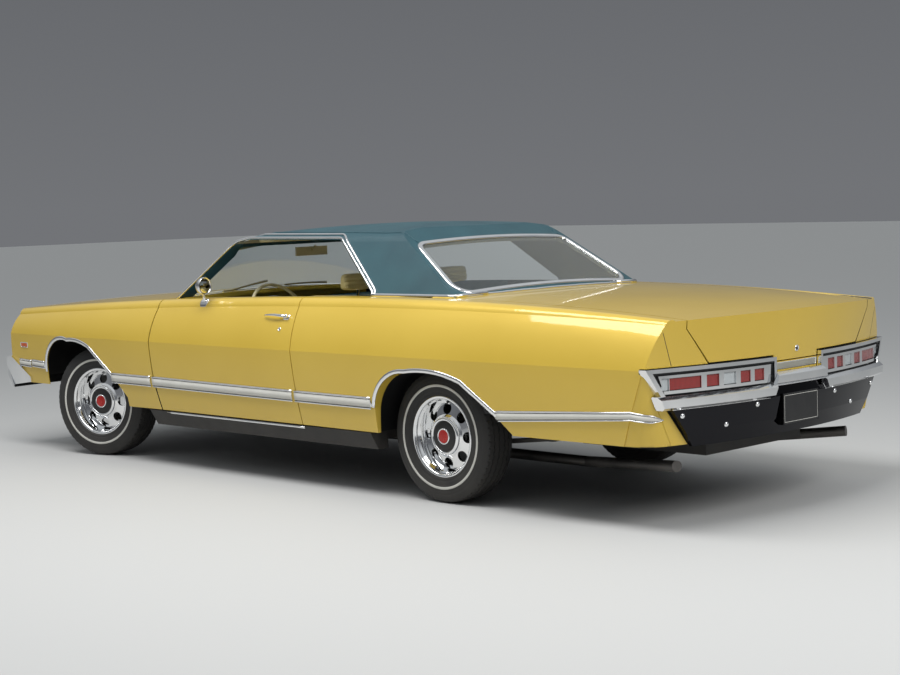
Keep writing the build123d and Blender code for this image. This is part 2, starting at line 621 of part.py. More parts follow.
# Tail lamps: six lenses a side in a bright bezel, bowed with the tail
bezel_form = front_prism(
    [(228, BEZEL_LOW_Z), (222, BEZEL_HIGH_Z), (925, BEZEL_HIGH_Z), (893, BEZEL_LOW_Z)], TAIL_X - 400, FAR)
bezel_block = tail_sector(rect(BEZEL_BACK, BEZEL_FRONT, BEZEL_LOW_Z, BEZEL_HIGH_Z), 200, 940) & bezel_form
bezel = bezel_block
lenses = []
for outer, inner in LENSES:
    window = rect(BEZEL_BACK - 9, BEZEL_FRONT + 9, LENS_LOW_Z - LENS_GAP, LENS_HIGH_Z + LENS_GAP)
    bezel = bezel - tail_sector(window, inner - LENS_GAP, outer + LENS_GAP)
    lens = tail_sector(rect(BEZEL_BACK, LENS_FRONT, LENS_LOW_Z, LENS_HIGH_Z), inner, outer)
    lenses += [lens.solids()[0], mirrored(lens).solids()[0]]
NODES["lamp_frames"] = Compound([bezel.solids()[0], mirrored(bezel).solids()[0]])
NODES["tail_lamps"] = Compound(lenses)

# Rear bumper: two loops round the lamps, a bar that rises in the middle, and a deep face below it
loop_out = front_prism(
    [(LOOP_INNER_Y, BAR_LOW_Z + 20), (LOOP_INNER_Y, LOOP_TOP_Z), (1000, LOOP_TOP_Z), (895, BAR_LOW_Z + 20)],
    TAIL_X - 400, FAR)
loop_in = front_prism(
    [(LOOP_INNER_Y + LOOP_WIDTH, 0), (LOOP_INNER_Y + LOOP_WIDTH, LOOP_TOP_Z - LOOP_WIDTH),
     (964, LOOP_TOP_Z - LOOP_WIDTH), (858, BAR_LOW_Z), (858, 0)], TAIL_X - 400, FAR)
loop = (tail_sector(rect(LOOP_BACK, LOOP_FRONT, BAR_LOW_Z, LOOP_TOP_Z), 150, 1000) & loop_out) - loop_in


def bar_section(rise):
    low, high = BAR_LOW_Z + rise, BAR_HIGH_Z + rise
    return [(-8, low), (TAIL_SETBACK - 16, low), (TAIL_SETBACK, low + 12), (TAIL_SETBACK, high - 16),
            (TAIL_SETBACK - 22, high), (-8, high)]


step = LOOP_INNER_Y + LOOP_WIDTH
bar_outline = [
    (step - 12, BAR_HIGH_Z + BAR_RISE), (step + 8, BAR_HIGH_Z), (BAR_END_Y, BAR_HIGH_Z),
    (BAR_END_Y - 25, BAR_LOW_Z), (step + 28, BAR_LOW_Z), (step - 2, BAR_LOW_Z + BAR_RISE),
]
bar = tail_sector(bar_section(0), -BAR_END_Y, BAR_END_Y)
bar += tail_sector(bar_section(BAR_RISE), -step - 28, step + 28)
bar = bar & front_prism(both_sides(bar_outline), TAIL_X - 400, FAR)
face_section = [(8, 640), (20, 578), (18, 560), (6, 470), (-14, BUMPER_LOW_Z), (-30, BUMPER_LOW_Z), (-12, 470),
                (0, 560), (-6, 640)]
bumper_face = tail_sector(face_section, -BAR_END_Y, BAR_END_Y) & tail_zone(3)
rear_bumper = bar + bumper_face + loop + mirrored(loop)
tail_panel = tail_panel - bezel_block - mirrored(bezel_block) - rear_bumper
NODES["quarter_left"] = quarter - rear_bumper
NODES["quarter_right"] = mirrored(NODES["quarter_left"])
for y in (-500.0, 500.0):
    rear_bumper += tail_sector(rect(-40, 4, 490, 540), y - 40, y + 40) - tail_panel
rear_bumper += box(TAIL_X - 8, TAIL_X + PLATE_FRONT, -PLATE_HALF, PLATE_HALF, PLATE_LOW_Z, PLATE_HIGH_Z)
for y in (-PLATE_HOLE_SPACING / 2, PLATE_HOLE_SPACING / 2):
    rear_bumper -= along_rod(TAIL_X, y, PLATE_HOLE_Z, PLATE_HOLE_R, 80)
NODES["tail_panel"] = tail_panel
NODES["rear_bumper"] = rear_bumper

# Grille, head lamps and front bumper
grille = nose_sector(rect(-46, -30, GRILLE_LOW_Z, GRILLE_HIGH_Z), -GRILLE_HALF, GRILLE_HALF)
bar_step = (GRILLE_HIGH_Z - GRILLE_LOW_Z) / GRILLE_BARS
for i in range(GRILLE_BARS):
    z = GRILLE_LOW_Z + i * bar_step
    grille += nose_sector(rect(-32, -8, z, z + GRILLE_BAR), -GRILLE_HALF, GRILLE_HALF)
lamps = []
for y in LAMP_YS:
    face_x = NOSE_X + y * y / (2 * NOSE_BOW_RADIUS)
    grille -= along_rod(face_x + 40, y, LAMP_Z, LAMP_RADIUS + LAMP_RING, 200)
    lamp = along_rod(face_x + 45, y, LAMP_Z, LAMP_RADIUS + LAMP_RING, 90)
    lamp -= along_rod(face_x, y, LAMP_Z, LAMP_RADIUS, 30)
    lamps.append(lamp.solids()[0])
NODES["grille"] = grille
NODES["head_lamps"] = Compound(lamps)
front_section = [
    (18, 566), (30, 566), (NOSE_SETBACK, 546), (NOSE_SETBACK, 478), (40, 440), (22, 400), (4, 400), (22, 446),
    (38, 484), (38, 530), (18, 548),
]
front_bumper = nose_sector(front_section, -FRONT_BUMPER_HALF, FRONT_BUMPER_HALF)
wrap_outline = [(-2, 410), (-2, 600), (60, 610), (270, 480), (270, 445)]
wrap = (body_loft(-14) - body_loft(-1)) & side_prism(shifted(wrap_outline, NOSE_X), -FAR, 0)
NODES["front_bumper"] = front_bumper + wrap + mirrored(wrap)

# Wheels: (radius, distance outboard of the wheel's middle) outlines turned about the axle
rim_half = RIM_WIDTH / 2
tyre_half = TYRE_WIDTH / 2
bead = RIM_RADIUS - 22
flange = RIM_RADIUS - 6
RIM_PROFILE = [
    (flange, -rim_half), (bead, 16 - rim_half), (bead, -40), (172, -25), (172, 12), (bead, 28),
    (bead, rim_half - 16), (flange, rim_half), (flange - 7, rim_half), (184, 62), (170, 33), (112, 46), (98, 56),
    (0, 60), (0, 40), (HUB_BORE_R, 40), (HUB_BORE_R, -42), (60, -42), (60, 16), (104, 34), (160, 20), (162, -25),
    (178, -45), (178, 16 - rim_half), (flange - 7, -rim_half),
]
TYRE_RINGS = [
    (252, tyre_half - 6), (285, tyre_half), (326, tyre_half - 12), (TYRE_RADIUS, tyre_half - 34),
]


def tyre_ring(radius, outboard):
    return Plane(origin=(0, -outboard, 0), z_dir=(0, 1, 0)) * RegularPolygon(
        radius, TYRE_SIDES, major_radius=False, rotation=180 / TYRE_SIDES)


rim = revolve(make_face(Polyline(*[(r, -a, 0) for r, a in RIM_PROFILE], close=True)), Axis.Y)
for i in range(WHEEL_HOLES):
    turn = Rot(0, i * 360 / WHEEL_HOLES, 0)
    rim = rim - turn * across_rod(WHEEL_HOLE_CIRCLE, -40, 0, WHEEL_HOLE_RADIUS, 60)
rings = [tyre_ring(r, a) for r, a in TYRE_RINGS] + [tyre_ring(r, -a) for r, a in reversed(TYRE_RINGS)]
tyre_bore = extrude(tyre_ring(flange, 0), amount=TYRE_WIDTH, both=True)
tyre = loft(rings, ruled=True) - tyre_bore


# Front knuckles turn on an upright kingpin; the stored pose has the road wheels turned to the left
def steered(shape, side):
    kingpin = Axis((FRONT_AXLE_X, side * KINGPIN_Y, 0), (0, 0, 1))
    return shape.rotate(kingpin, STEER_AT_REST)


def knuckle(side):
    y = side * KINGPIN_Y
    post = Pos(FRONT_AXLE_X, y, (POST_LOW_Z + POST_HIGH_Z) / 2) * Cylinder(POST_R, POST_HIGH_Z - POST_LOW_Z)
    spindle_end = side * (FRONT_WHEEL_Y + 34)
    post += rod((FRONT_AXLE_X, y, TYRE_RADIUS), (FRONT_AXLE_X, spindle_end, TYRE_RADIUS), SPINDLE_R)
    for z in (POST_LOW_Z, POST_HIGH_Z):
        post -= Pos(FRONT_AXLE_X, y, z) * Cylinder(BALL_PIN_R + PIN_CLEARANCE, 2 * BALL_PIN_DEPTH)
    return steered(post, side)


for side, name in ((-1, "left"), (1, "right")):
    NODES[f"knuckle_{name}"] = knuckle(side)
    facing = Rot(0, 0, 90 + side * 90)
    front_place = Pos(FRONT_AXLE_X, side * FRONT_WHEEL_Y, TYRE_RADIUS) * facing
    rear_place = Pos(REAR_AXLE_X, side * REAR_WHEEL_Y, TYRE_RADIUS) * facing
    NODES[f"wheel_front_{name}"] = steered(front_place * rim, side)
    NODES[f"tyre_front_{name}"] = steered(front_place * tyre, side)
    NODES[f"wheel_rear_{name}"] = rear_place * rim
    NODES[f"tyre_rear_{name}"] = rear_place * tyre

# Front frame: rails, inner wings, crossmember, radiator and its support
SUPPORT_X = NOSE_X + SUPPORT_FROM_NOSE
frame_end = FIREWALL_X - WALL - 1
rail = box(SUPPORT_X, frame_end, -RAIL_OUTER, -RAIL_INNER, 330, 430)
rail += box(SUPPORT_X, frame_end, -RAIL_OUTER, -RAIL_OUTER + 10, 420, 860)
crossmember = box(FRONT_AXLE_X - 90, FRONT_AXLE_X + 90, -RAIL_INNER - 20, RAIL_INNER + 20, 300, 345)
support = box(SUPPORT_X - 20, SUPPORT_X, -880, 880, 470, 780)
radiator = box(SUPPORT_X - 5, SUPPORT_X + 60, -340, 340, 430, 850)
NODES["front_frame"] = rail + mirrored(rail) + crossmember + support + radiator


# Front suspension arms, with the ball pins the knuckles turn on
def arm(y_in, low_z, pin_z):
    y_out = KINGPIN_Y + 24
    half_plan = [(90, y_in), (26, y_out)]
    plan = [(FRONT_AXLE_X - x, y) for x, y in half_plan] + [(FRONT_AXLE_X + x, y) for x, y in reversed(half_plan)]
    pin = Pos(FRONT_AXLE_X, KINGPIN_Y, pin_z) * Cylinder(BALL_PIN_R, BALL_PIN_DEPTH)
    return plan_prism(plan, low_z, low_z + ARM_THICK) + pin


low_z = POST_LOW_Z - ARM_GAP - ARM_THICK
low_arm = arm(RAIL_OUTER - 40, low_z, low_z + ARM_THICK + BALL_PIN_DEPTH / 2)
low_arm += box(FRONT_AXLE_X - 80, FRONT_AXLE_X + 80, RAIL_INNER - 15, RAIL_OUTER - 40, low_z, 300)
high_z = POST_HIGH_Z + ARM_GAP
high_arm = arm(RAIL_OUTER, high_z, high_z - BALL_PIN_DEPTH / 2)
arms = [low_arm, mirrored(low_arm), high_arm, mirrored(high_arm)]
NODES["front_arms"] = Compound([piece.solids()[0] for piece in arms])

# Rear axle on two leaf springs
tube_end = REAR_WHEEL_Y - 60
axle_end = REAR_WHEEL_Y + 34
axle = across_rod(REAR_AXLE_X, 0, TYRE_RADIUS, AXLE_TUBE_R, 2 * tube_end)
axle += across_rod(REAR_AXLE_X, 0, TYRE_RADIUS, SPINDLE_R, 2 * axle_end)
axle += Pos(REAR_AXLE_X, 0, TYRE_RADIUS) * Sphere(DIFFERENTIAL_R)
LEAF = [(-560, 330), (0, 292), (760, 372), (760, 358), (0, 268), (-560, 314)]
for y in (-SPRING_Y, SPRING_Y):
    y0, y1 = y - SPRING_HALF, y + SPRING_HALF
    axle += side_prism(shifted(LEAF, REAR_AXLE_X), y0, y1)
    axle += box(REAR_AXLE_X - 70, REAR_AXLE_X + 70, y0 - 8, y1 + 8, 285, TYRE_RADIUS)
    axle += box(REAR_AXLE_X + 740, REAR_AXLE_X + 760, y0, y1, 360, under_rear)
    axle += box(REAR_AXLE_X - 560, REAR_AXLE_X - 530, y0, y1, 318, under_rear)
NODES["rear_axle"] = axle

# Engine as one plain block, gearbox and propshaft
engine = box(FRONT_AXLE_X - 330, FRONT_AXLE_X + 340, -230, 230, 350, 800)
engine += box(FRONT_AXLE_X - 330, FRONT_AXLE_X + 340, -320, 320, 560, 720)
NODES["engine"] = engine
driveline = box(FRONT_AXLE_X + 341, FRONT_AXLE_X + 620, -130, 130, 300, 560)
driveline += box(FRONT_AXLE_X + 610, FRONT_AXLE_X + 1000, -80, 80, 300, 410)
driveline += rod((FRONT_AXLE_X + 990, 0, 352), (REAR_AXLE_X - 100, 0, TYRE_RADIUS), 38)
NODES["driveline"] = driveline - Pos(REAR_AXLE_X, 0, TYRE_RADIUS) * Sphere(DIFFERENTIAL_R)

# Exhaust and fuel tank
muffler_x = (FIREWALL_X + DOOR_REAR_X) / 2 + 120
pipe_turns = [
    (FIREWALL_X + 40, 265, PIPE_Z), (KICK_X + 200, 265, PIPE_Z), (KICK_X + 420, 430, PIPE_Z),
    (REAR_AXLE_X + 620, 430, PIPE_Z), (TAIL_X - 180, 720, PIPE_Z + 80),
]
pipe = along_rod(muffler_x, 265, MUFFLER_Z, MUFFLER_R, 560)
for a, b in zip(pipe_turns, pipe_turns[1:]):
    pipe += rod(a, b, PIPE_R)
for bend in pipe_turns[1:-1]:
    pipe += Pos(*bend) * Sphere(PIPE_R)
NODES["exhaust"] = Compound([pipe.solids()[0], mirrored(pipe).solids()[0]])
NODES["fuel_tank"] = box(REAR_AXLE_X + 560, TAIL_X - 250, -400, 400, 300, under_rear)

# Front bench seat with headrests, and the rear seat
FRONT_SEAT_X = FRONT_AXLE_X + FRONT_SEAT_FROM_AXLE
seat_foot_z = TUNNEL_Z + 6
CUSHION = [(0, seat_foot_z), (0, 555), (80, 585), (470, 540), (470, seat_foot_z)]
SEAT_BACK = [(440, 480), (560, 1000), (620, 1015), (660, 990), (620, 480)]
front_seat = side_prism(shifted(CUSHION, FRONT_SEAT_X), -SEAT_HALF, SEAT_HALF)
front_seat += side_prism(shifted(SEAT_BACK, FRONT_SEAT_X), -SEAT_HALF, SEAT_HALF)
seat_foot = box(FRONT_SEAT_X + 40, FRONT_SEAT_X + 420, -SEAT_HALF + 100, -200, FLOOR_Z, seat_foot_z + 4)
front_seat += seat_foot + mirrored(seat_foot)
for y in (-DRIVER_Y, DRIVER_Y):
    front_seat += rod((FRONT_SEAT_X + 600, y, 980), (FRONT_SEAT_X + 610, y, 1070), 8)
    front_seat += box(FRONT_SEAT_X + 560, FRONT_SEAT_X + 650, y - 130, y + 130, 1050, 1160)
NODES["front_seat"] = front_seat
rear_seat = box(KICK_X + 2, KICK_X + 440, -REAR_SEAT_HALF, REAR_SEAT_HALF, REAR_FLOOR_Z, 620)
rear_back = [
    (KICK_X + 390, REAR_FLOOR_Z), (KICK_X + 480, 980), (BULKHEAD_X - 2, 990), (BULKHEAD_X - 2, REAR_FLOOR_Z),
]
NODES["rear_seat"] = rear_seat + side_prism(rear_back, -REAR_SEAT_HALF, REAR_SEAT_HALF)

# Dashboard with the steering column, and the steering wheel
DASH = [(1, 720), (1, 950), (131, 962), (316, 955), (336, 915), (286, 730)]
column = math.radians(COLUMN_ANGLE)
column_dir = (math.cos(column), 0, math.sin(column))
wheel_centre = (FRONT_AXLE_X + STEERING_FROM_AXLE, -DRIVER_Y, STEERING_Z)


def along_column(distance):
    return tuple(c + d * distance for c, d in zip(wheel_centre, column_dir))


dash = side_prism(shifted(DASH, FIREWALL_X), -800, 800)
dash += rod(along_column(-520), along_column(-62), 34) & box(FIREWALL_X, FAR, -FAR, FAR, 0, FAR)
NODES["dashboard"] = dash + rod(along_column(-80), along_column(-20), COLUMN_PIN_R)
grip = Pos(STEERING_RADIUS, 0, 0) * Rot(90, 0, 0) * RegularPolygon(STEERING_GRIP_R, 8)
steering_wheel = revolve(grip, Axis.Z) + Pos(0, 0, -30) * Cylinder(40, 52)
steering_wheel += Pos(0, 0, -14) * Box(2 * STEERING_RADIUS - 6, 34, 10)
steering_wheel = Plane(origin=wheel_centre, x_dir=(0, 1, 0), z_dir=column_dir) * steering_wheel
steering_wheel -= rod(along_column(-90), along_column(-18), COLUMN_PIN_R + PIN_CLEARANCE)
NODES["steering_wheel"] = steering_wheel

# Mirrors
mirror_x = FRONT_AXLE_X + CABIN_MIRROR_FROM_AXLE
cabin_mirror = box(mirror_x - 7, mirror_x + 7, -125, 125, 1235, 1290)
NODES["cabin_mirror"] = cabin_mirror + rod((mirror_x, 0, 1260), (mirror_x + 40, 0, 1295), 7)
mirror_x = FRONT_AXLE_X + DOOR_MIRROR_FROM_AXLE
door_mirror = along_rod(mirror_x, -945, 1095, 34, 60) + box(mirror_x - 60, mirror_x + 20, -905, -870, 1000, 1030)
door_mirror += rod((mirror_x - 15, -890, 1020), (mirror_x, -940, 1090), 9)
NODES["door_mirror"] = door_mirror - door

os.makedirs("parts", exist_ok=True)
for name, shape in NODES.items():
    print(name, len(shape.solids()), round(shape.volume / 1e6, 2), shape.is_valid)
    export_step(shape, f"parts/{name}.step")
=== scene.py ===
# %% [markdown]
# # A hardtop coupe, dressed
# The solid panels come packed from the CAD model and are never moved here. This notebook gives them
# finishes, adds the thin bright trim, the tyres, the seats and the small fittings, and sets up the studio.

# %% Load the frame
import bpy
import math
from mathutils import Matrix, Vector


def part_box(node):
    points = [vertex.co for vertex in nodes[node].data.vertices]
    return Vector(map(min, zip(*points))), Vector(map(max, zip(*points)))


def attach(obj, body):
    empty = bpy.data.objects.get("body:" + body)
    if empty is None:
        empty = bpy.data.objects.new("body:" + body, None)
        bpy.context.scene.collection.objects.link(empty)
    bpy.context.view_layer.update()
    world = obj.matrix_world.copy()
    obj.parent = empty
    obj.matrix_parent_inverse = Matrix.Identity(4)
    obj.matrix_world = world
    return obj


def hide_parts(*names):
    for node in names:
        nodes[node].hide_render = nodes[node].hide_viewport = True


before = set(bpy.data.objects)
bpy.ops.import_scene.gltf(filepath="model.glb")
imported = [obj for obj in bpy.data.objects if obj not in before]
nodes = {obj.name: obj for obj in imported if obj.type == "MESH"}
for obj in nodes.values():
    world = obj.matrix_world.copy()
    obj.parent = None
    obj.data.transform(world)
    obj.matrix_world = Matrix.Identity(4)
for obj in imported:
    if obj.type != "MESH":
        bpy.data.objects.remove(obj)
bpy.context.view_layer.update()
rear_low, rear_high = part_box("tyre_rear_left")
REAR_AXLE = (rear_low[0] + rear_high[0]) / 2
WHEELBASE, AXLE_Z = 3.099, 0.345
FRONT_AXLE = REAR_AXLE - WHEELBASE
print("nodes", len(nodes), "front axle", round(FRONT_AXLE, 4))

# %% [markdown]
# ## Camera
# The picture was taken from behind the car's left rear corner with a long lens. A camera needs a place, a
# focal length and three turns. The turns are given here as yaw, pitch and roll, made into a matrix, because
# that keeps the small roll of the picture, which a track-to constraint would lose.

# %% Camera
YAW, PITCH, ROLL = (math.radians(a) for a in (44.798, 4.535, -1.706))
FOCAL_PIXELS, IMAGE_WIDTH, SENSOR = 1762.83, 900.0, 36.0
BEHIND_FRONT_AXLE, TO_THE_LEFT, EYE_HEIGHT = 9.464, 7.185, 1.566
ahead = Vector((-math.sin(YAW) * math.cos(PITCH), math.cos(YAW) * math.cos(PITCH), -math.sin(PITCH)))
level = ahead.cross(Vector((0, 0, 1))).normalized()
above = level.cross(ahead)
right = math.cos(ROLL) * level + math.sin(ROLL) * above
up = right.cross(ahead)
lens = bpy.data.cameras.new("photo_camera")
lens.sensor_width = SENSOR
lens.lens = FOCAL_PIXELS / IMAGE_WIDTH * SENSOR
lens.clip_end = 200.0
camera = bpy.data.objects.new("photo_camera", lens)
turn = Matrix((right, up, -ahead)).transposed().to_4x4()
eye = Vector((FRONT_AXLE + BEHIND_FRONT_AXLE, -TO_THE_LEFT, EYE_HEIGHT))
camera.matrix_world = Matrix.Translation(eye) @ turn
bpy.context.collection.objects.link(camera)
bpy.context.scene.camera = camera
print("lens", round(lens.lens, 2), "mm")

# %% [markdown]
# ## Studio
# Bright metal shows only what is around it, so the room matters as much as the metal. A sky that goes from
# grey at the horizon to white overhead gives chrome its dark and light bands, and one broad lamp over the
# left side draws the long highlight along the shoulder. The floor is plain and pale.

# %% Studio
bpy.context.scene.view_settings.view_transform = "Standard"
world = bpy.data.worlds.new("studio")
bpy.context.scene.world = world
world.use_nodes = True
wt = world.node_tree
coord = wt.nodes.new("ShaderNodeTexCoord")
split = wt.nodes.new("ShaderNodeSeparateXYZ")
ramp = wt.nodes.new("ShaderNodeValToRGB")
ramp.color_ramp.elements[0].position = 0.0
ramp.color_ramp.elements[0].color = (0.30, 0.31, 0.33, 1)
ramp.color_ramp.elements[1].position = 0.58
ramp.color_ramp.elements[1].color = (0.93, 0.97, 1.0, 1)
band = ramp.color_ramp.elements.new(0.18)
band.color = (0.22, 0.23, 0.25, 1)
wt.links.new(coord.outputs["Generated"], split.inputs[0])
wt.links.new(split.outputs["Z"], ramp.inputs[0])
wt.links.new(ramp.outputs[0], wt.nodes["Background"].inputs["Color"])
wt.nodes["Background"].inputs["Strength"].default_value = 0.56


def area_lamp(name, place, target, size, power):
    """A soft rectangular lamp at a place, turned to a target."""
    lamp = bpy.data.lights.new(name, "AREA")
    lamp.shape = "RECTANGLE"
    lamp.size, lamp.size_y = size
    lamp.energy = power
    obj = bpy.data.objects.new(name, lamp)
    obj.location = place
    obj.rotation_euler = (Vector(target) - Vector(place)).to_track_quat("-Z", "Y").to_euler()
    bpy.context.collection.objects.link(obj)
    return obj


area_lamp("key_lamp", (0.6, -2.9, 6.0), (0.4, -0.6, 0.8), (7.0, 2.2), 370)
area_lamp("tail_lamp_fill", (7.5, -1.0, 4.5), (2.4, 0, 0.7), (3.0, 3.0), 190)


def material(name):
    """A new material and its Principled shader."""
    made = bpy.data.materials.new(name)
    made.use_nodes = True
    return made, made.node_tree, made.node_tree.nodes["Principled BSDF"]


bpy.ops.mesh.primitive_plane_add(size=120, location=(0, 0, 0))
floor = bpy.context.object
floor.name = "studio_floor"
floor_paint, _, floor_shader = material("floor_paint")
floor_shader.inputs["Base Color"].default_value = (0.54, 0.54, 0.53, 1)
floor_shader.inputs["Roughness"].default_value = 0.7
floor.data.materials.append(floor_paint)

# %% [markdown]
# ## Shared surface effects
# Real finishes are never one flat number. Four small node groups are built once and used in many materials:
# a slow cloud of tone for paint and rubber, a pebbled grain for vinyl and leather, a film of road dust that
# grows towards the ground, and a mask of the faces that look into the car. On the body paint the dust film is
# darker than the gold, and there it also stands for painted shade on the lower body. Each gives out only values
# that change over the surface.

# %% Shared groups
def group(name, inputs, outputs):
    """A new node group with float sockets, and its input and output nodes."""
    made = bpy.data.node_groups.new(name, "ShaderNodeTree")
    for label, value in inputs:
        made.interface.new_socket(label, in_out="INPUT", socket_type="NodeSocketFloat").default_value = value
    for label in outputs:
        made.interface.new_socket(label, in_out="OUTPUT", socket_type="NodeSocketFloat")
    return made, made.nodes.new("NodeGroupInput"), made.nodes.new("NodeGroupOutput")


def calc(tree, operation, *values):
    """The result of a Math node; each value is a socket to link or a number to set."""
    node = tree.nodes.new("ShaderNodeMath")
    node.operation = operation
    for socket, value in zip(node.inputs, values):
        if isinstance(value, (int, float)):
            socket.default_value = value
        else:
            tree.links.new(value, socket)
    return node.outputs[0]


def object_axes(tree):
    """The X, Y and Z sockets of a surface point's place in the car's frame."""
    place = tree.nodes.new("ShaderNodeTexCoord")
    axes = tree.nodes.new("ShaderNodeSeparateXYZ")
    tree.links.new(place.outputs["Object"], axes.inputs[0])
    return axes.outputs


cloud, cloud_in, cloud_out = group("tone_cloud", [("Scale", 3.0), ("Low", 0.0), ("High", 1.0)], ["Value"])
cloud_pos = cloud.nodes.new("ShaderNodeTexCoord")
cloud_noise = cloud.nodes.new("ShaderNodeTexNoise")
cloud_noise.inputs["Detail"].default_value = 4.0
cloud_map = cloud.nodes.new("ShaderNodeMapRange")
cloud_map.inputs["From Min"].default_value = 0.3
cloud_map.inputs["From Max"].default_value = 0.7
cloud.links.new(cloud_pos.outputs["Object"], cloud_noise.inputs["Vector"])
cloud.links.new(cloud_in.outputs["Scale"], cloud_noise.inputs["Scale"])
cloud.links.new(cloud_noise.outputs["Fac"], cloud_map.inputs["Value"])
cloud.links.new(cloud_in.outputs["Low"], cloud_map.inputs["To Min"])
cloud.links.new(cloud_in.outputs["High"], cloud_map.inputs["To Max"])
cloud.links.new(cloud_map.outputs["Result"], cloud_out.inputs["Value"])

grain, grain_in, grain_out = group("pebble_grain", [("Scale", 300.0)], ["Height", "Pits"])
grain_pos = grain.nodes.new("ShaderNodeTexCoord")
grain_cells = grain.nodes.new("ShaderNodeTexVoronoi")
grain_cells.feature = "SMOOTH_F1"
grain_noise = grain.nodes.new("ShaderNodeTexNoise")
grain_pits = grain.nodes.new("ShaderNodeMapRange")
grain_pits.inputs["From Min"].default_value = 0.35
grain_pits.inputs["From Max"].default_value = 0.9
grain.links.new(grain_pos.outputs["Object"], grain_cells.inputs["Vector"])
grain.links.new(grain_pos.outputs["Object"], grain_noise.inputs["Vector"])
grain.links.new(grain_in.outputs["Scale"], grain_cells.inputs["Scale"])
grain.links.new(grain_in.outputs["Scale"], grain_noise.inputs["Scale"])
grain_sum = calc(grain, "ADD", grain_cells.outputs["Distance"], grain_noise.outputs["Fac"])
grain.links.new(grain_sum, grain_out.inputs["Height"])
grain.links.new(grain_cells.outputs["Distance"], grain_pits.inputs["Value"])
grain.links.new(grain_pits.outputs["Result"], grain_out.inputs["Pits"])

# The road dust mask grows towards the ground; on the body paint its darker colour also paints shade on the
# lower body.
dust, dust_in, dust_out = group("road_dust_and_painted_shade", [("Top", 0.6), ("Amount", 0.4)], ["Mask"])
dust_pos = dust.nodes.new("ShaderNodeNewGeometry")
dust_split = dust.nodes.new("ShaderNodeSeparateXYZ")
dust_fall = dust.nodes.new("ShaderNodeMapRange")
dust_fall.inputs["To Min"].default_value = 1.0
dust_fall.inputs["To Max"].default_value = 0.0
dust_noise = dust.nodes.new("ShaderNodeTexNoise")
dust_noise.inputs["Scale"].default_value = 9.0
dust_noise.inputs["Detail"].default_value = 6.0
dust.links.new(dust_pos.outputs["Position"], dust_split.inputs[0])
dust.links.new(dust_pos.outputs["Position"], dust_noise.inputs["Vector"])
dust.links.new(dust_split.outputs["Z"], dust_fall.inputs["Value"])
dust.links.new(dust_in.outputs["Top"], dust_fall.inputs["From Max"])
speckle = calc(dust, "MULTIPLY", dust_fall.outputs["Result"], dust_noise.outputs["Fac"])
dust.links.new(calc(dust, "MULTIPLY", speckle, dust_in.outputs["Amount"]), dust_out.inputs["Mask"])

inside, _, inside_out = group("inside_faces", [], ["Mask"])
inside_pos = inside.nodes.new("ShaderNodeTexCoord")
inside_from = inside.nodes.new("ShaderNodeVectorMath")
inside_from.operation = "SUBTRACT"
CABIN_MIDDLE_Z, INWARD_ENOUGH = 0.75, -0.04
inside_from.inputs[1].default_value = (0, 0, CABIN_MIDDLE_Z)
inside_flat = inside.nodes.new("ShaderNodeVectorMath")
inside_flat.operation = "MULTIPLY"
inside_flat.inputs[1].default_value = (0, 1, 1)
inside_dot = inside.nodes.new("ShaderNodeVectorMath")
inside_dot.operation = "DOT_PRODUCT"
inside.links.new(inside_pos.outputs["Object"], inside_from.inputs[0])
inside.links.new(inside_from.outputs[0], inside_flat.inputs[0])
inside.links.new(inside_flat.outputs[0], inside_dot.inputs[0])
inside.links.new(inside_pos.outputs["Normal"], inside_dot.inputs[1])
inside_test = calc(inside, "LESS_THAN", inside_dot.outputs["Value"], INWARD_ENOUGH)
inside.links.new(inside_test, inside_out.inputs["Mask"])
print("groups", [g.name for g in bpy.data.node_groups])


def place_group(tree, made, **values):
    """A node group placed in a material, with its own values."""
    node = tree.nodes.new("ShaderNodeGroup")
    node.node_tree = made
    for label, value in values.items():
        node.inputs[label].default_value = value
    return node


def colour_mix(tree, factor, a, b):
    """A colour that goes from a to b as the factor socket goes from 0 to 1."""
    node = tree.nodes.new("ShaderNodeMix")
    node.data_type = "RGBA"
    node.inputs[6].default_value = (*a, 1)
    node.inputs[7].default_value = (*b, 1)
    tree.links.new(factor, node.inputs[0])
    return node.outputs[2]


def bump(tree, shader, height, strength, distance):
    """Small relief on a shader's normal, from a height socket."""
    node = tree.nodes.new("ShaderNodeBump")
    node.inputs["Strength"].default_value = strength
    node.inputs["Distance"].default_value = distance
    tree.links.new(height, node.inputs["Height"])
    tree.links.new(node.outputs[0], shader.inputs["Normal"])


def value_range(tree, value, low, high):
    """A value socket that goes from low to high as the value goes from 0 to 1."""
    node = tree.nodes.new("ShaderNodeMapRange")
    node.inputs["To Min"].default_value = low
    node.inputs["To Max"].default_value = high
    tree.links.new(value, node.inputs["Value"])
    return node.outputs["Result"]


# %% [markdown]
# ## Body paint
# The body is one gold colour under a clear coat. The coat is a Coat Weight on the shader, and the colour
# below it drifts a little. Low down a darker brown film lies over it, partly road dust and partly painted shade
# on the lower body. Very fine waves, the orange peel of sprayed paint, break up the reflections.

# %% Body paint
# The road film colour is darker than the gold: partly road dust, partly painted shade on the lower body.
GOLD_LOW, GOLD_HIGH, ROAD_DUST_AND_PAINTED_SHADE = (0.63, 0.430, 0.052), (0.68, 0.472, 0.064), (0.36, 0.29, 0.17)
WELL_LIMITS = (0.935, 0.735, 2.15)


def layer(tree, mask, under, colour):
    """A colour laid over a colour socket where the mask is 1."""
    node = tree.nodes.new("ShaderNodeMix")
    node.data_type = "RGBA"
    node.inputs[7].default_value = (*colour, 1)
    tree.links.new(mask, node.inputs[0])
    tree.links.new(under, node.inputs[6])
    return node.outputs[2]


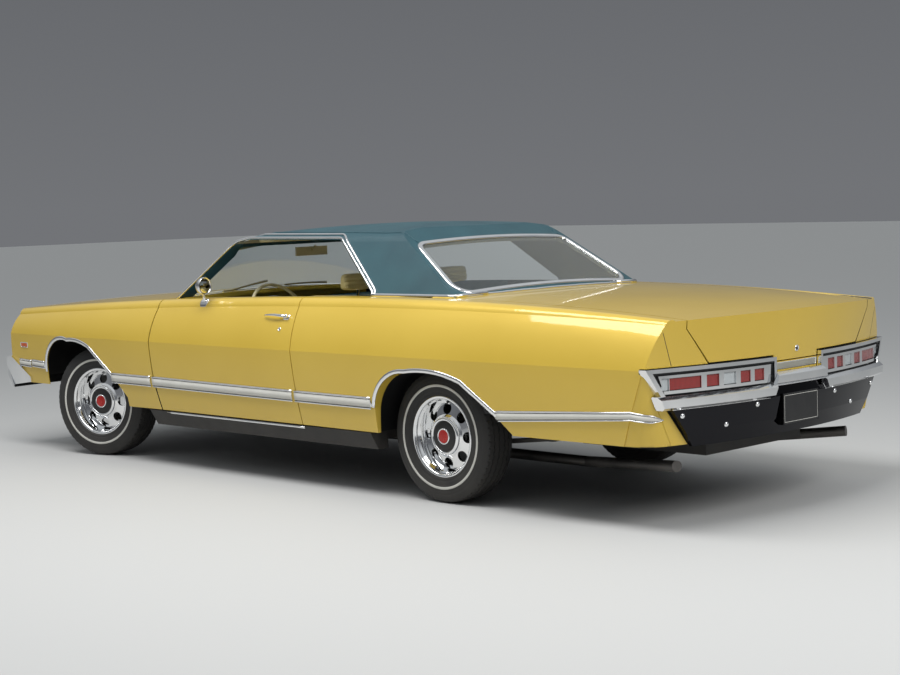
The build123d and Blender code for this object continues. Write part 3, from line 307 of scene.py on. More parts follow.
def wheel_well_mask(tree):
    """1 on the low inner faces round the wheels, which are deeper in than the skin."""
    x, y, z = object_axes(tree)
    values = (calc(tree, "ABSOLUTE", y), z, x)
    near, low, ahead_of_tail = (calc(tree, "LESS_THAN", v, limit) for v, limit in zip(values, WELL_LIMITS))
    return calc(tree, "MULTIPLY", calc(tree, "MULTIPLY", near, low), ahead_of_tail)


def gold_paint(name, lining=None, wells=False):
    """The body's paint; a lining colours the faces that look into the car, and those round the wheels."""
    made, tree, shader = material(name)
    drift = place_group(tree, cloud, Scale=1.3)
    film = place_group(tree, dust, Top=0.55, Amount=0.35)
    colour = colour_mix(tree, drift.outputs["Value"], GOLD_LOW, GOLD_HIGH)
    # Painted shade: the road film darkens the paint towards the ground, besides standing for dust.
    colour = layer(tree, film.outputs["Mask"], colour, ROAD_DUST_AND_PAINTED_SHADE)
    if lining:
        colour = layer(tree, place_group(tree, inside).outputs["Mask"], colour, lining)
    if wells:
        colour = layer(tree, wheel_well_mask(tree), colour, lining)
    tree.links.new(colour, shader.inputs["Base Color"])
    tree.links.new(value_range(tree, drift.outputs["Value"], 0.30, 0.36), shader.inputs["Roughness"])
    shader.inputs["Metallic"].default_value = 0.15
    shader.inputs["Specular IOR Level"].default_value = 0.2
    shader.inputs["Coat Weight"].default_value = 0.75
    shader.inputs["Coat Roughness"].default_value = 0.03
    peel = place_group(tree, cloud, Scale=220.0)
    bump(tree, shader, peel.outputs["Value"], 0.02, 0.002)
    return made


body_paint = gold_paint("gold_paint")
WELL_BLACK, TRIM_TEAL = (0.014, 0.014, 0.015), (0.030, 0.085, 0.105)
arch_paint = gold_paint("gold_paint_black_inside", WELL_BLACK, wells=True)
door_paint = gold_paint("gold_paint_trimmed_inside", TRIM_TEAL)
print("paints", body_paint.name, arch_paint.name, door_paint.name)

# %% [markdown]
# ## Vinyl, chrome, glass, rubber and the dark metals
# The roof is covered in dark blue-green grained vinyl. Chrome is a white metal with almost no roughness, a
# faint haze and water marks in it. Glass keeps a plain transmission. Each of these is a short recipe from
# the same groups.

# %% Other finishes
def grained(name, low, high, roughness, scale, depth, lining=None):
    """Vinyl or cloth with a pebbled grain; a lining colours the faces that look into the car."""
    made, tree, shader = material(name)
    cells = place_group(tree, grain, Scale=scale)
    drift = place_group(tree, cloud, Scale=4.0)
    colour = colour_mix(tree, drift.outputs["Value"], low, high)
    if lining:
        colour = layer(tree, place_group(tree, inside).outputs["Mask"], colour, lining)
    tree.links.new(colour, shader.inputs["Base Color"])
    pitted = value_range(tree, cells.outputs["Pits"], roughness, roughness + 0.2)
    tree.links.new(pitted, shader.inputs["Roughness"])
    bump(tree, shader, cells.outputs["Height"], 0.5, depth)
    return made


def metal(name, low, high, roughness, haze=0.08):
    """A metal whose tone and roughness drift a little."""
    made, tree, shader = material(name)
    drift = place_group(tree, cloud, Scale=6.0)
    tree.links.new(colour_mix(tree, drift.outputs["Value"], low, high), shader.inputs["Base Color"])
    hazed = value_range(tree, drift.outputs["Value"], roughness, roughness + haze)
    tree.links.new(hazed, shader.inputs["Roughness"])
    shader.inputs["Metallic"].default_value = 1.0
    return made


def satin(name, low, high, roughness, top=0.5, amount=0.5):
    """A painted or moulded dark surface with a film of road dust."""
    made, tree, shader = material(name)
    drift = place_group(tree, cloud, Scale=14.0)
    film = place_group(tree, dust, Top=top, Amount=amount)
    base = colour_mix(tree, drift.outputs["Value"], low, high)
    over = layer(tree, film.outputs["Mask"], base, (0.16, 0.14, 0.11))
    tree.links.new(over, shader.inputs["Base Color"])
    worn = value_range(tree, drift.outputs["Value"], roughness, roughness + 0.15)
    tree.links.new(worn, shader.inputs["Roughness"])
    fine = place_group(tree, cloud, Scale=180.0)
    bump(tree, shader, fine.outputs["Value"], 0.15, 0.002)
    return made


def glass(name, colour, roughness=0.0):
    """Clear glass with a plain transmission."""
    made, _, shader = material(name)
    shader.inputs["Base Color"].default_value = (*colour, 1)
    shader.inputs["Transmission Weight"].default_value = 1.0
    shader.inputs["IOR"].default_value = 1.45
    shader.inputs["Roughness"].default_value = roughness
    return made


VINYL_LOW, VINYL_HIGH = (0.013, 0.056, 0.074), (0.021, 0.082, 0.102)
roof_vinyl = grained("roof_vinyl", VINYL_LOW, VINYL_HIGH, 0.42, 420.0, 0.0012)
roof_cover = grained("roof_cover", VINYL_LOW, VINYL_HIGH, 0.42, 420.0, 0.0012, lining=(0.40, 0.37, 0.27))
seat_vinyl = grained("seat_vinyl", (0.74, 0.61, 0.25), (0.80, 0.68, 0.33), 0.45, 380.0, 0.0008)
trim_vinyl = grained("trim_vinyl", (0.020, 0.020, 0.022), (0.035, 0.034, 0.034), 0.5, 380.0, 0.0008)
CHROME_LOW, CHROME_HIGH = (0.80, 0.81, 0.82), (0.90, 0.90, 0.90)
chrome = metal("bright_chrome", CHROME_LOW, CHROME_HIGH, 0.03, 0.05)
steel = metal("bare_steel", (0.30, 0.30, 0.31), (0.42, 0.41, 0.40), 0.35, 0.2)
exhaust_steel = metal("exhaust_steel", (0.10, 0.095, 0.09), (0.17, 0.16, 0.15), 0.42, 0.2)
cast_iron = satin("cast_iron", (0.035, 0.034, 0.033), (0.075, 0.070, 0.066), 0.55)
underseal = satin("underseal", (0.012, 0.012, 0.013), (0.028, 0.027, 0.026), 0.6)
matt_black = satin("matt_black", (0.010, 0.010, 0.011), (0.020, 0.020, 0.020), 0.45, amount=0.2)
rubber = satin("rubber", (0.010, 0.010, 0.011), (0.022, 0.022, 0.022), 0.62, top=0.7, amount=0.25)
window_glass = glass("window_glass", (0.90, 0.95, 0.94))
print("materials", len(bpy.data.materials))

# %% [markdown]
# ## Finishes on the solid panels
# Each solid of the model is one part of one material, so one slot is enough for it. The slots could be
# filled by hand, but a table shows at a glance what is made of what. The tail, the grille and the cabin get
# theirs further down.

# %% Finishes on the solid panels
FINISH = {
    body_paint: ["bonnet", "boot_lid", "rear_deck"],
    arch_paint: ["fender_left", "fender_right", "quarter_left", "quarter_right", "cowl"],
    door_paint: ["door_left", "door_right", "windshield_pillars"],
    roof_cover: ["roof_panel", "sail_panels"],
    chrome: ["lamp_frames", "front_bumper", "door_mirror", "head_lamps",
             "wheel_front_left", "wheel_front_right", "wheel_rear_left", "wheel_rear_right"],
    window_glass: ["window_glass"],
    # The fuel tank is finished in the black underseal rather than bare steel, as painted shade under the car.
    underseal: ["underbody", "front_frame", "fuel_tank"],
    cast_iron: ["front_arms", "rear_axle", "engine", "knuckle_left", "knuckle_right"],
    steel: ["driveline"],
    exhaust_steel: ["exhaust"],
    rubber: ["tyre_front_left", "tyre_front_right", "tyre_rear_left", "tyre_rear_right"],
    seat_vinyl: ["front_seat", "rear_seat"],
}


def dress(node, finish):
    """Gives a solid its one finish."""
    slots = nodes[node].data.materials
    slots.clear()
    slots.append(finish)


for finish, names in FINISH.items():
    for name in names:
        dress(name, finish)
print("dressed", sum(len(n) for n in FINISH.values()), "of", len(nodes))

# %% [markdown]
# ## Tools for bright trim
# A bright moulding is one small section carried along a line on the body. It could be a curve with a bevel,
# but a curve's bevel twists on a leaning panel. Here a ray finds the panel under each point of the line and
# the panel's own slope there, and the section is set square to it, so that the trim lies flat on the metal
# all the way.

# %% Trim helpers
import bmesh
from mathutils.bvhtree import BVHTree


def skin(*names):
    """The surfaces of some CAD nodes, to cast rays at."""
    points, faces = [], []
    for name in names:
        mesh = nodes[name].data
        start = len(points)
        points += [v.co.copy() for v in mesh.vertices]
        faces += [[start + i for i in p.vertices] for p in mesh.polygons]
    return BVHTree.FromPolygons(points, faces)


def side_points(tree, line, reach=1.3):
    """Points and slopes of a left-hand panel under a side-view (x from the front axle, z) line."""
    found = []
    for x, z in line:
        place, slope, _, _ = tree.ray_cast(Vector((FRONT_AXLE + x, -reach, z)), Vector((0, 1, 0)))
        if place:
            found.append((place, slope if slope.y < 0 else -slope))
    return found


def smooth_slopes(found, width=3):
    """The same points with each slope averaged over its neighbours."""
    out = []
    for i, (place, _) in enumerate(found):
        near = found[max(0, i - width):i + width + 1]
        out.append((place, sum((s for _, s in near), Vector()).normalized()))
    return out


def along(points, step):
    """A polyline cut into even short runs."""
    line = []
    for a, b in zip(points, points[1:]):
        a, b = Vector(a), Vector(b)
        count = max(1, math.ceil((b - a).length / step))
        line += [tuple(a.lerp(b, i / count)) for i in range(count)]
    return line + [tuple(points[-1])]


def rounded(points, radii, steps=8):
    """A polyline whose inner corners are turned by arcs of the given radii, in two dimensions."""
    line = [Vector(points[0])]
    for before, corner, after, radius in zip(points, points[1:], points[2:], radii):
        before, corner, after = Vector(before), Vector(corner), Vector(after)
        a, b = (before - corner).normalized(), (after - corner).normalized()
        half = math.acos(max(-1, min(1, a.dot(b)))) / 2
        reach = radius / math.tan(half)
        start, end = corner + a * reach, corner + b * reach
        centre = corner + (a + b).normalized() * (radius / math.sin(half))
        u, v = start - centre, end - centre
        sweep_angle = u.angle(v)
        for i in range(steps + 1):
            t = i / steps
            line.append(centre + (u * math.sin((1 - t) * sweep_angle) + v * math.sin(t * sweep_angle))
                        / math.sin(sweep_angle))
    return [tuple(p) for p in line + [Vector(points[-1])]]


def finished(form, name):
    """A mesh of what was built, with its normals facing out."""
    bmesh.ops.recalc_face_normals(form, faces=form.faces)
    mesh = bpy.data.meshes.new(name)
    form.to_mesh(mesh)
    form.free()
    return mesh


def ring_loft(name, rings, smooth=()):
    """Rings of points joined in a row and capped at both ends; smooth lists the sides shaded as curved."""
    form = bmesh.new()
    rows = [[form.verts.new(p) for p in ring] for ring in rings]
    for first, second in zip(rows, rows[1:]):
        for k in range(len(first)):
            n = (k + 1) % len(first)
            form.faces.new((first[k], first[n], second[n], second[k])).smooth = k in smooth
    form.faces.new(rows[0])
    form.faces.new(list(reversed(rows[-1])))
    return finished(form, name)


def piece(name, mesh, body, *finishes):
    """A mesh made into a piece of the car, with its finishes, riding on a body."""
    for finish in finishes:
        mesh.materials.append(finish)
    obj = bpy.data.objects.new(name, mesh)
    bpy.context.collection.objects.link(obj)
    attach(obj, body)
    return obj


def swept(name, found, section, closed=False, taper=None, bands=None, smooth=True):
    """A section (across, out) carried along points with slopes; across points up on a rearward run."""
    form = bmesh.new()
    rings = []
    count = len(found)
    for i, (place, slope) in enumerate(found):
        before = found[i - 1][0] if i or closed else place
        after = found[(i + 1) % count][0] if i < count - 1 or closed else place
        run = (after - before).normalized()
        out = (slope - run * slope.dot(run)).normalized()
        across = out.cross(run)
        size = taper(i / (count - 1)) if taper else 1.0
        rings.append([form.verts.new(place + across * (a * size) + out * o) for a, o in section])
    pairs = list(zip(rings, rings[1:])) + ([(rings[-1], rings[0])] if closed else [])
    for first, second in pairs:
        for k in range(len(section)):
            n = (k + 1) % len(section)
            face = form.faces.new((first[k], second[k], second[n], first[n]))
            face.smooth = smooth
            face.material_index = bands[k] if bands else 0
    if not closed:
        form.faces.new(rings[0])
        form.faces.new(list(reversed(rings[-1])))
    return finished(form, name)


def mirrored_mesh(mesh, name):
    """The same mesh on the car's right side."""
    made = mesh.copy()
    made.name = name
    made.transform(Matrix.Scale(-1, 4, (0, 1, 0)))
    made.flip_normals()
    return made


def pair(name, mesh, bodies, *finishes):
    """A left-hand piece and its mirror image; bodies are the left and right ones."""
    left = piece(name + "_left", mesh, bodies[0], *finishes)
    other = mirrored_mesh(mesh, name + "_right")
    other.materials.clear()
    return left, piece(name + "_right", other, bodies[1], *finishes)


FIXED = ("body", "body")
DOORS = ("door_left", "door_right")
print("matrix of a node is identity:", nodes["door_left"].matrix_world == Matrix.Identity(4))

# %% [markdown]
# ## Tail corners
# Low down, the side turns into the tail in a corner that is tight at the crease and broad at the bottom.
# The corner is a cone-like sheet: at each height an arc that touches the side and the bowed tail. One
# function gives its points, and both this painted sheet, which closes the panel there, and the moulding
# that runs round it use that function.

# %% Tail corners
TAIL_MIDDLE_X, TAIL_BOW, TAIL_TILT, CREASE_Z = 2.7765, 3.300, math.radians(5.0), 0.760
CORNER_ROWS = [
    # height, half width of the side there, radius
    (0.775, 0.984, 0.008), (0.580, 0.971, 0.098), (0.395, 0.945, 0.185),
]


def corner_circle(row):
    """Centre, radius and tail slope of the arc that turns the side into the tail at one of the rows."""
    z, side_y, radius = row
    slope = math.asin(side_y / TAIL_BOW)
    edge_x = TAIL_MIDDLE_X - TAIL_BOW * (1 - math.cos(slope)) + (z - CREASE_Z) * math.tan(TAIL_TILT)
    reach = radius * math.tan((math.pi / 2 - slope) / 2)
    return Vector((edge_x - reach, radius - side_y, z)), radius, slope


def corner_point(angle, z):
    """The place and slope of the corner, angle 0 being the side and a right angle the tail."""
    for low, high in zip(CORNER_ROWS[1:], CORNER_ROWS):
        if z >= low[0]:
            break
    share = (z - low[0]) / (high[0] - low[0])
    (low_c, low_r, _), (high_c, high_r, _) = corner_circle(low), corner_circle(high)
    away = Vector((math.sin(angle), -math.cos(angle), 0))
    return low_c.lerp(high_c, share) + away * (low_r + (high_r - low_r) * share), away


TIP_START = corner_point(0.0, 0.551)[0].x - FRONT_AXLE
CORNER_LOW, CORNER_HIGH, CORNER_STEPS = 0.4055, 0.600, 20
CORNER_SUNK, CORNER_SKIN = 0.0006, 0.006
last = math.pi / 2 - corner_circle(CORNER_ROWS[1])[2]
sheet = []
for i in range(CORNER_STEPS + 1):
    z = CORNER_LOW + (CORNER_HIGH - CORNER_LOW) * i / CORNER_STEPS
    arc = [corner_point(last * k / CORNER_STEPS, z) for k in range(CORNER_STEPS + 1)]
    outer = [place - away * CORNER_SUNK for place, away in arc]
    sheet.append(outer + [place - away * CORNER_SKIN for place, away in reversed(arc)])
flat_sides = (CORNER_STEPS, 2 * CORNER_STEPS + 1)
corner_mesh = ring_loft("quarter_corner", sheet, [k for k in range(len(sheet[0])) if k not in flat_sides])
pair("quarter_corner", corner_mesh, FIXED, body_paint)
print("tail corners from", round(TIP_START, 3), "behind the front axle")

# %% [markdown]
# ## Side mouldings
# A broad moulding runs along the side from wheel to wheel and on to the tail: two bright edges, a thin black
# line inside each that is painted shade in the gap, and a white insert. All of it is one section; each strip of
# the section gets its own finish. The moulding is cut at the door's shut lines, so that the door's length
# opens with the door.

# %% Side mouldings
white_insert = grained("white_insert", (0.62, 0.61, 0.56), (0.70, 0.69, 0.64), 0.4, 500.0, 0.0004)
MOULD_OUT, MOULD_LIP, MOULD_LINE = 0.012, 0.009, 0.0035


def mould_section(half):
    """The section of a framed moulding and each strip's finish: 0 bright, 1 painted shade in the gaps, 2 white.
    """
    lip, line = half - MOULD_LIP, half - MOULD_LIP - MOULD_LINE
    side = [(half, 0.0), (half, 0.006), (half - 0.003, MOULD_OUT), (lip, MOULD_OUT), (lip, 0.008),
            (line, 0.008), (line, 0.0105)]
    section = [(-a, o) for a, o in side] + [(0.0, 0.0125)] + [(a, o) for a, o in reversed(side)]
    # Strips 1 are matt black, painted shade in the gaps beside the insert.
    bands = [0, 0, 0, 1, 1, 1, 2, 2, 1, 1, 1, 0, 0, 0, 0]
    return section, bands


left_side = skin("fender_left", "door_left", "quarter_left", "underbody")
SIDE_RUNS = [
    # name, x from, x to, z of the middle at both ends, half height, bodies
    ("side_moulding_fender", 0.362, 0.772, 0.522, 0.521, 0.034, FIXED),
    ("side_moulding_door", 0.792, 2.086, 0.521, 0.511, 0.034, DOORS),
    ("side_moulding_quarter", 2.106, 2.715, 0.511, 0.508, 0.034, FIXED),
]
for name, x0, x1, z0, z1, half, bodies in SIDE_RUNS:
    section, bands = mould_section(half)
    found = smooth_slopes(side_points(left_side, along([(x0, z0), (x1, z1)], 0.03)))
    pair(name, swept(name, found, section, bands=bands), bodies, chrome, matt_black, white_insert)
    print(name, len(found), "points")

# %% [markdown]
# ## The moulding's two ends
# Behind the rear wheel the moulding thins out and wraps round the corner of the tail; ahead of the front
# wheel it goes on in two short lengths. The same section serves, and a taper shrinks it along the run. The
# corner is too tight for rays from the side, so its points come from the corner's own function.

# %% Tail and nose mouldings
def sized(stations):
    """A function of the run's share that reads a size from (share, size) stations."""
    def size(t):
        for (a, sa), (b, sb) in zip(stations, stations[1:]):
            if t <= b:
                return sa + (sb - sa) * (t - a) / (b - a)
        return stations[-1][1]
    return size


TAIL_HALF, NOSE_HALF = 0.029, 0.026
TIP_Z, TIP_FALL, TIP_TURN, TIP_STEPS = 0.551, 0.020, math.radians(74), 24
section, bands = mould_section(TAIL_HALF)
found = side_points(left_side, along([(3.580, 0.497), (TIP_START, TIP_Z)], 0.02))
for i in range(1, TIP_STEPS + 1):
    found.append(corner_point(TIP_TURN * i / TIP_STEPS, TIP_Z - TIP_FALL * i / TIP_STEPS))
found = smooth_slopes(found)
thinning = sized([(0, 1.0), (0.89, 0.66), (1.0, 0.06)])
tip = swept("side_moulding_tail", found, section, bands=bands, taper=thinning)
pair("side_moulding_tail", tip, FIXED, chrome, matt_black, white_insert)
section, bands = mould_section(NOSE_HALF)
for name, x0, x1 in (("side_moulding_nose_a", -0.700, -0.556), ("side_moulding_nose_b", -0.548, -0.400)):
    found = smooth_slopes(side_points(left_side, along([(x0, 0.573), (x1, 0.566)], 0.02)))
    pair(name, swept(name, found, section, bands=bands), FIXED, chrome, matt_black, white_insert)
    print(name, len(found), "points")

# %% [markdown]
# ## Wheel arch and sill mouldings
# Each wheel opening is edged with a bright rolled strip, and a flat bright strip closes the sill under the
# door. The openings are the same lines as in the solid model, taken from the axle, and the strip follows
# them a finger's width outside the edge.

# %% Arch and sill mouldings
FRONT_ARCH = [(-0.384, 0.480), (-0.379, 0.544), (-0.322, 0.678), (-0.115, 0.729), (0.009, 0.727),
              (0.117, 0.696), (0.409, 0.486), (0.490, 0.405)]
REAR_ARCH = [(-0.368, 0.400), (-0.364, 0.485), (-0.300, 0.608), (-0.120, 0.677), (0.030, 0.687), (0.269, 0.644),
             (0.516, 0.476), (0.590, 0.410)]
ARCH_SECTION = [(-0.013, -0.002), (-0.013, 0.0035), (-0.007, 0.0060), (0.003, 0.0060), (0.009, 0.0035),
                (0.011, 0.0)]


def three_point_arc(a, b, c, count=10):
    """Points on the circle through a, b and c, from a to c."""
    (ax, ay), (bx, by), (cx, cy) = a, b, c
    d = 2 * (ax * (by - cy) + bx * (cy - ay) + cx * (ay - by))
    a2, b2, c2 = ax * ax + ay * ay, bx * bx + by * by, cx * cx + cy * cy
    ux = (a2 * (by - cy) + b2 * (cy - ay) + c2 * (ay - by)) / d
    uy = (a2 * (cx - bx) + b2 * (ax - cx) + c2 * (bx - ax)) / d
    r = math.hypot(ax - ux, ay - uy)
    start = math.atan2(ay - uy, ax - ux)
    end = math.atan2(cy - uy, cx - ux)
    while end > start:
        end -= 2 * math.pi
    turns = [start + (end - start) * i / count for i in range(count + 1)]
    return [(ux + r * math.cos(turn), uy + r * math.sin(turn)) for turn in turns]


def arch_line(points):
    """The whole opening from its front foot to its heel behind the wheel."""
    foot, front, rise, top, crest, fall, back, heel = points
    line = [foot] + three_point_arc(front, rise, top) + three_point_arc(top, crest, fall)[1:]
    return along(line + [back, heel], 0.03)


def offset_line(line, distance):
    """The line moved sideways, up and away from the opening for a run from front to back."""
    moved = []
    for i, (x, z) in enumerate(line):
        (xa, za), (xb, zb) = line[max(0, i - 1)], line[min(len(line) - 1, i + 1)]
        run = Vector((xb - xa, zb - za)).normalized()
        moved.append((x - run.y * distance, z + run.x * distance))
    return moved


for name, axle, points, low in (("arch_moulding_front", 0.0, FRONT_ARCH, 0.505),
                                ("arch_moulding_rear", WHEELBASE, REAR_ARCH, 0.478)):
    line = [(axle + x, z) for x, z in offset_line(arch_line(points), 0.013) if z > low]
    found = smooth_slopes(side_points(left_side, line), 2)
    pair(name, swept(name, found, ARCH_SECTION), FIXED, chrome)
    print(name, len(found), "of", len(line), "points on the panel")
SILL_SECTION = [(-0.006, -0.002), (-0.006, 0.003), (-0.003, 0.006), (0.003, 0.006), (0.006, 0.003),
                (0.006, -0.002)]
found = smooth_slopes(side_points(left_side, along([(0.88, 0.338), (2.14, 0.336)], 0.05)))
pair("sill_moulding", swept("sill_moulding", found, SILL_SECTION), FIXED, chrome)

# %% [markdown]
# ## Drip mouldings
# A double bright drip moulding climbs the windshield pillar, runs over the side window and comes down the
# edge of the rear pillar. Its line repeats the opening of the solid model twice, a little outside the edge
# each time, so that the two beads stay side by side all the way.

# %% Drip mouldings
roof_side = skin("roof_panel", "windshield_pillars", "sail_panels")
SIDE_WINDOW = [(0.844, 0.985), (1.244, 1.356), (2.146, 1.352), (2.516, 1.068), (2.516, 0.985)]
BEAD = [(-0.007, -0.002), (-0.007, 0.004), (-0.003, 0.008), (0.003, 0.008), (0.007, 0.004), (0.007, -0.002)]
window_line = along(rounded(SIDE_WINDOW, (0.230, 0.060, 0.025)), 0.03)
for name, away in (("drip_moulding_inner", 0.009), ("drip_moulding_outer", 0.027)):
    found = smooth_slopes(side_points(roof_side, offset_line(window_line, away)), 2)
    pair(name, swept(name, found, BEAD), FIXED, chrome)
    print(name, len(found), "points")

# %% [markdown]
# ## Mouldings round the fixed glasses
# A bright strip frames the windshield and the back window. Rays at a glass edge often miss, so the strip is
# placed by the formula of the bowed glass itself; only at the foot of the windshield, where the cowl rises,
# does a ray lift it.

# %% Glass mouldings
lean_w, lean_b = math.radians(39), math.radians(31)
GLASS_RIMS = [
    # name, x from the front axle, z, sideways, up, normal, corners, their radii, half width, radius of the bow
    ("windshield_moulding", 0.694, 1.010, Vector((0, -1, 0)), Vector((math.cos(lean_w), 0, math.sin(lean_w))),
     Vector((-math.sin(lean_w), 0, math.cos(lean_w))),
     [(-0.768, 0.034), (0.768, 0.034), (0.592, 0.520), (-0.592, 0.520)], [0.060] * 4, 0.011, 3.41),
    ("back_window_moulding", 3.119, 1.090, Vector((0, 1, 0)), Vector((-math.cos(lean_b), 0, math.sin(lean_b))),
     Vector((math.sin(lean_b), 0, math.cos(lean_b))),
     [(-0.692, 0.008), (0.692, 0.008), (0.582, 0.484), (-0.582, 0.484)], [0.085, 0.085, 0.060, 0.060], 0.015,
     7.95),
]
foot_skin, FOOT_REACH = skin("cowl", "fender_left", "fender_right"), 0.2


def rim_loop(corners, radii, grow):
    """The opening's outline, a little larger all round, as short runs."""
    middle = sum((Vector(c) for c in corners), Vector((0, 0))) / len(corners)
    grown = []
    for c in corners:
        away = Vector(c) - middle
        grown.append(tuple(Vector(c) + Vector((math.copysign(grow, away.x), math.copysign(grow, away.y)))))
    loop = rounded(grown[-1:] + grown + grown[:1], [radius + grow for radius in radii])[1:-1]
    return along(loop + loop[:1], 0.03)[:-1]


def on_glass(origin, sideways, up_glass, normal, bow, u, v):
    """The place and slope of a bowed glass at (u, v) on its own sheet."""
    rise = math.sqrt(bow * bow - u * u)
    place = origin + sideways * u + up_glass * v + normal * (rise - bow)
    return place, (normal * rise + sideways * u).normalized()


for name, x, z, sideways, up_glass, normal, corners, radii, half, bow in GLASS_RIMS:
    origin = Vector((FRONT_AXLE + x, 0, z))
    found = []
    for u, v in rim_loop(corners, radii, 0.006):
        place, slope = on_glass(origin, sideways, up_glass, normal, bow, u, v)
        hit = foot_skin.ray_cast(place + normal * FOOT_REACH, -normal)
        if hit[0] and hit[3] < FOOT_REACH:
            place = hit[0]
        found.append((place, slope))
    rim = [(-half, -0.006), (-half, 0.004), (-half / 2, 0.008), (half / 2, 0.008), (half, 0.004),
           (half, -0.006)]
    piece(name, swept(name, found, rim, closed=True), "body", chrome)
    print(name, len(found), "points")

# %% [markdown]
# ## Windshield header
# Between the top of the windshield and the front edge of the roof lies a narrow vinyl-covered header. It is
# a row of five-sided rings, each from the glass edge to the first point of the roof that a ray from above
# strikes.

# %% Windshield header
_, x, z, sideways, up_glass, normal, _, _, _, bow = GLASS_RIMS[0]
origin = Vector((FRONT_AXLE + x, 0, z))
header_skin = skin("roof_panel")
HEADER_HALF, HEADER_UP, HEADER_STEPS = 0.590, 0.512, 32
rings = []
for i in range(HEADER_STEPS + 1):
    u = HEADER_HALF - 2 * HEADER_HALF * i / HEADER_STEPS
    edge, _ = on_glass(origin, sideways, up_glass, normal, bow, u, HEADER_UP)
    behind = edge + Vector((0.10, 0, 0))
    for k in range(60):
        hit = header_skin.ray_cast(Vector((edge.x + 0.02 + 0.004 * k, edge.y, 2.0)), Vector((0, 0, -1)))[0]
        if hit:
            behind = hit
            break
    behind = behind + Vector((0.022, 0, 0.0015))
    crown = edge.lerp(behind, 0.5) + Vector((-0.002, 0, 0.006))
    under_edge, over_edge = edge + Vector((0, 0, -0.008)), edge + Vector((0, 0, 0.004))
    rings.append([under_edge, over_edge, crown, behind, behind + Vector((-0.010, 0, -0.022))])
header = ring_loft("windshield_header", rings, range(5))
piece("windshield_header", header, "body", roof_vinyl)
print("header from", [round(c, 3) for c in header.vertices[0].co])

# %% [markdown]
# ## Tyres
# The solid model has plain faceted rings for tyres. The real ones have a rounded sidewall with a thin white
# stripe, raised rings by the bead, and a tread of five ribs between zigzag grooves with notched shoulders.
# The section is a list of points turned about the axle; the grooves are moved sideways in a zigzag as the
# section goes round.

# %% Tyres
TYRE_R, BEAD_R = 0.345, 0.2065
ROUND_STEPS = 240
ZIGZAG = 0.0028
NOTCH_DEPTH = 0.006
STRIPE = (0.2585, 0.2715)
SIDEWALL = [
    # radius, distance from the middle
    (BEAD_R, 0.074), (0.2095, 0.0835), (0.2185, 0.0905), (0.2235, 0.0925), (0.2255, 0.0915), (0.2300, 0.0950),
    (0.2450, 0.0990), (STRIPE[0], 0.1010), (STRIPE[0] + 0.0005, 0.1018), (STRIPE[1] - 0.0005, 0.1022),
    (STRIPE[1], 0.1015), (0.2850, 0.1010), (0.2960, 0.0995), (0.2975, 0.0985), (0.3010, 0.0985),
    (0.3025, 0.0985), (0.3160, 0.0940), (0.3270, 0.0880), (0.3330, 0.0845),
]
GROOVES = [-0.052, -0.0185, 0.0185, 0.052]
GROOVE_HALF, GROOVE_DEPTH = 0.0042, 0.0085
CROWN = 1.05


def tread_radius(a):
    return TYRE_R - CROWN * a * a


def tyre_section():
    """Points (radius, out, kind) from the inner bead over the tread to the outer bead; outboard is negative."""
    left = [(r, a, "side") for r, a in SIDEWALL]
    tread = [(tread_radius(0.080), -0.0800, "edge"), (tread_radius(0.076), -0.0760, "edge"),
             (tread_radius(0.066), -0.0660, "notch")]
    for g in GROOVES:
        deep = tread_radius(g) - GROOVE_DEPTH
        tread += [(tread_radius(g), g - GROOVE_HALF, "zig"), (deep, g - GROOVE_HALF * 0.55, "zig"),
                  (deep, g + GROOVE_HALF * 0.55, "zig"), (tread_radius(g), g + GROOVE_HALF, "zig")]
    tread += [(tread_radius(0.066), 0.0660, "notch"), (tread_radius(0.076), 0.0760, "edge"),
              (tread_radius(0.080), 0.0800, "edge")]
    return [(r, -a, k) for r, a, k in left] + tread + list(reversed(left))


def tyre_mesh(name):
    form = bmesh.new()
    section = tyre_section()
    rings = []
    for i in range(ROUND_STEPS):
        angle = 2 * math.pi * i / ROUND_STEPS
        zig = ZIGZAG * (1 if (i // 2) % 2 else -1) * (1 if i % 2 else 0.6)
        ring = []
        for r, a, kind in section:
            if kind == "zig":
                a += zig
            if kind == "edge" and i % 4 == 0:
                r -= NOTCH_DEPTH
            ring.append(form.verts.new((r * math.cos(angle), a, r * math.sin(angle))))
        rings.append(ring)
    for first, second in zip(rings, rings[1:] + rings[:1]):
        for k in range(len(section) - 1):
            face = form.faces.new((first[k], first[k + 1], second[k + 1], second[k]))
            r_mid = (section[k][0] + section[k + 1][0]) / 2
            side = section[k][2] == "side" and section[k + 1][2] == "side"
            face.smooth = side
            outer = section[k][1] < 0 and side
            face.material_index = 1 if outer and STRIPE[0] < r_mid < STRIPE[1] else 0
        last = form.faces.new((first[-1], first[0], second[0], second[-1]))
        last.smooth = True
    return finished(form, name)


white_rubber = satin("white_rubber", (0.56, 0.55, 0.50), (0.66, 0.65, 0.60), 0.5, top=0.7, amount=0.2)
STEER = math.radians(16)
CORNERS = [
    # corner, turn about the upright axis
    ("front_left", STEER), ("front_right", STEER + math.pi), ("rear_left", 0.0), ("rear_right", math.pi),
]


def wheel_place(corner, turned):
    """Where a wheel's own frame is: axle along Y, outboard towards -Y."""
    low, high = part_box("tyre_" + corner)
    middle = (Vector(low) + Vector(high)) / 2
    return Matrix.Translation((middle.x, middle.y, AXLE_Z)) @ Matrix.Rotation(turned, 4, "Z")


for corner, turned in CORNERS:
    mesh = tyre_mesh("road_tyre_" + corner)
    mesh.transform(wheel_place(corner, turned))
    tyre = piece("road_tyre_" + corner, mesh, "wheel_" + corner, rubber, white_rubber)
    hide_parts("tyre_" + corner)
    print(tyre.name, len(mesh.polygons), "faces")

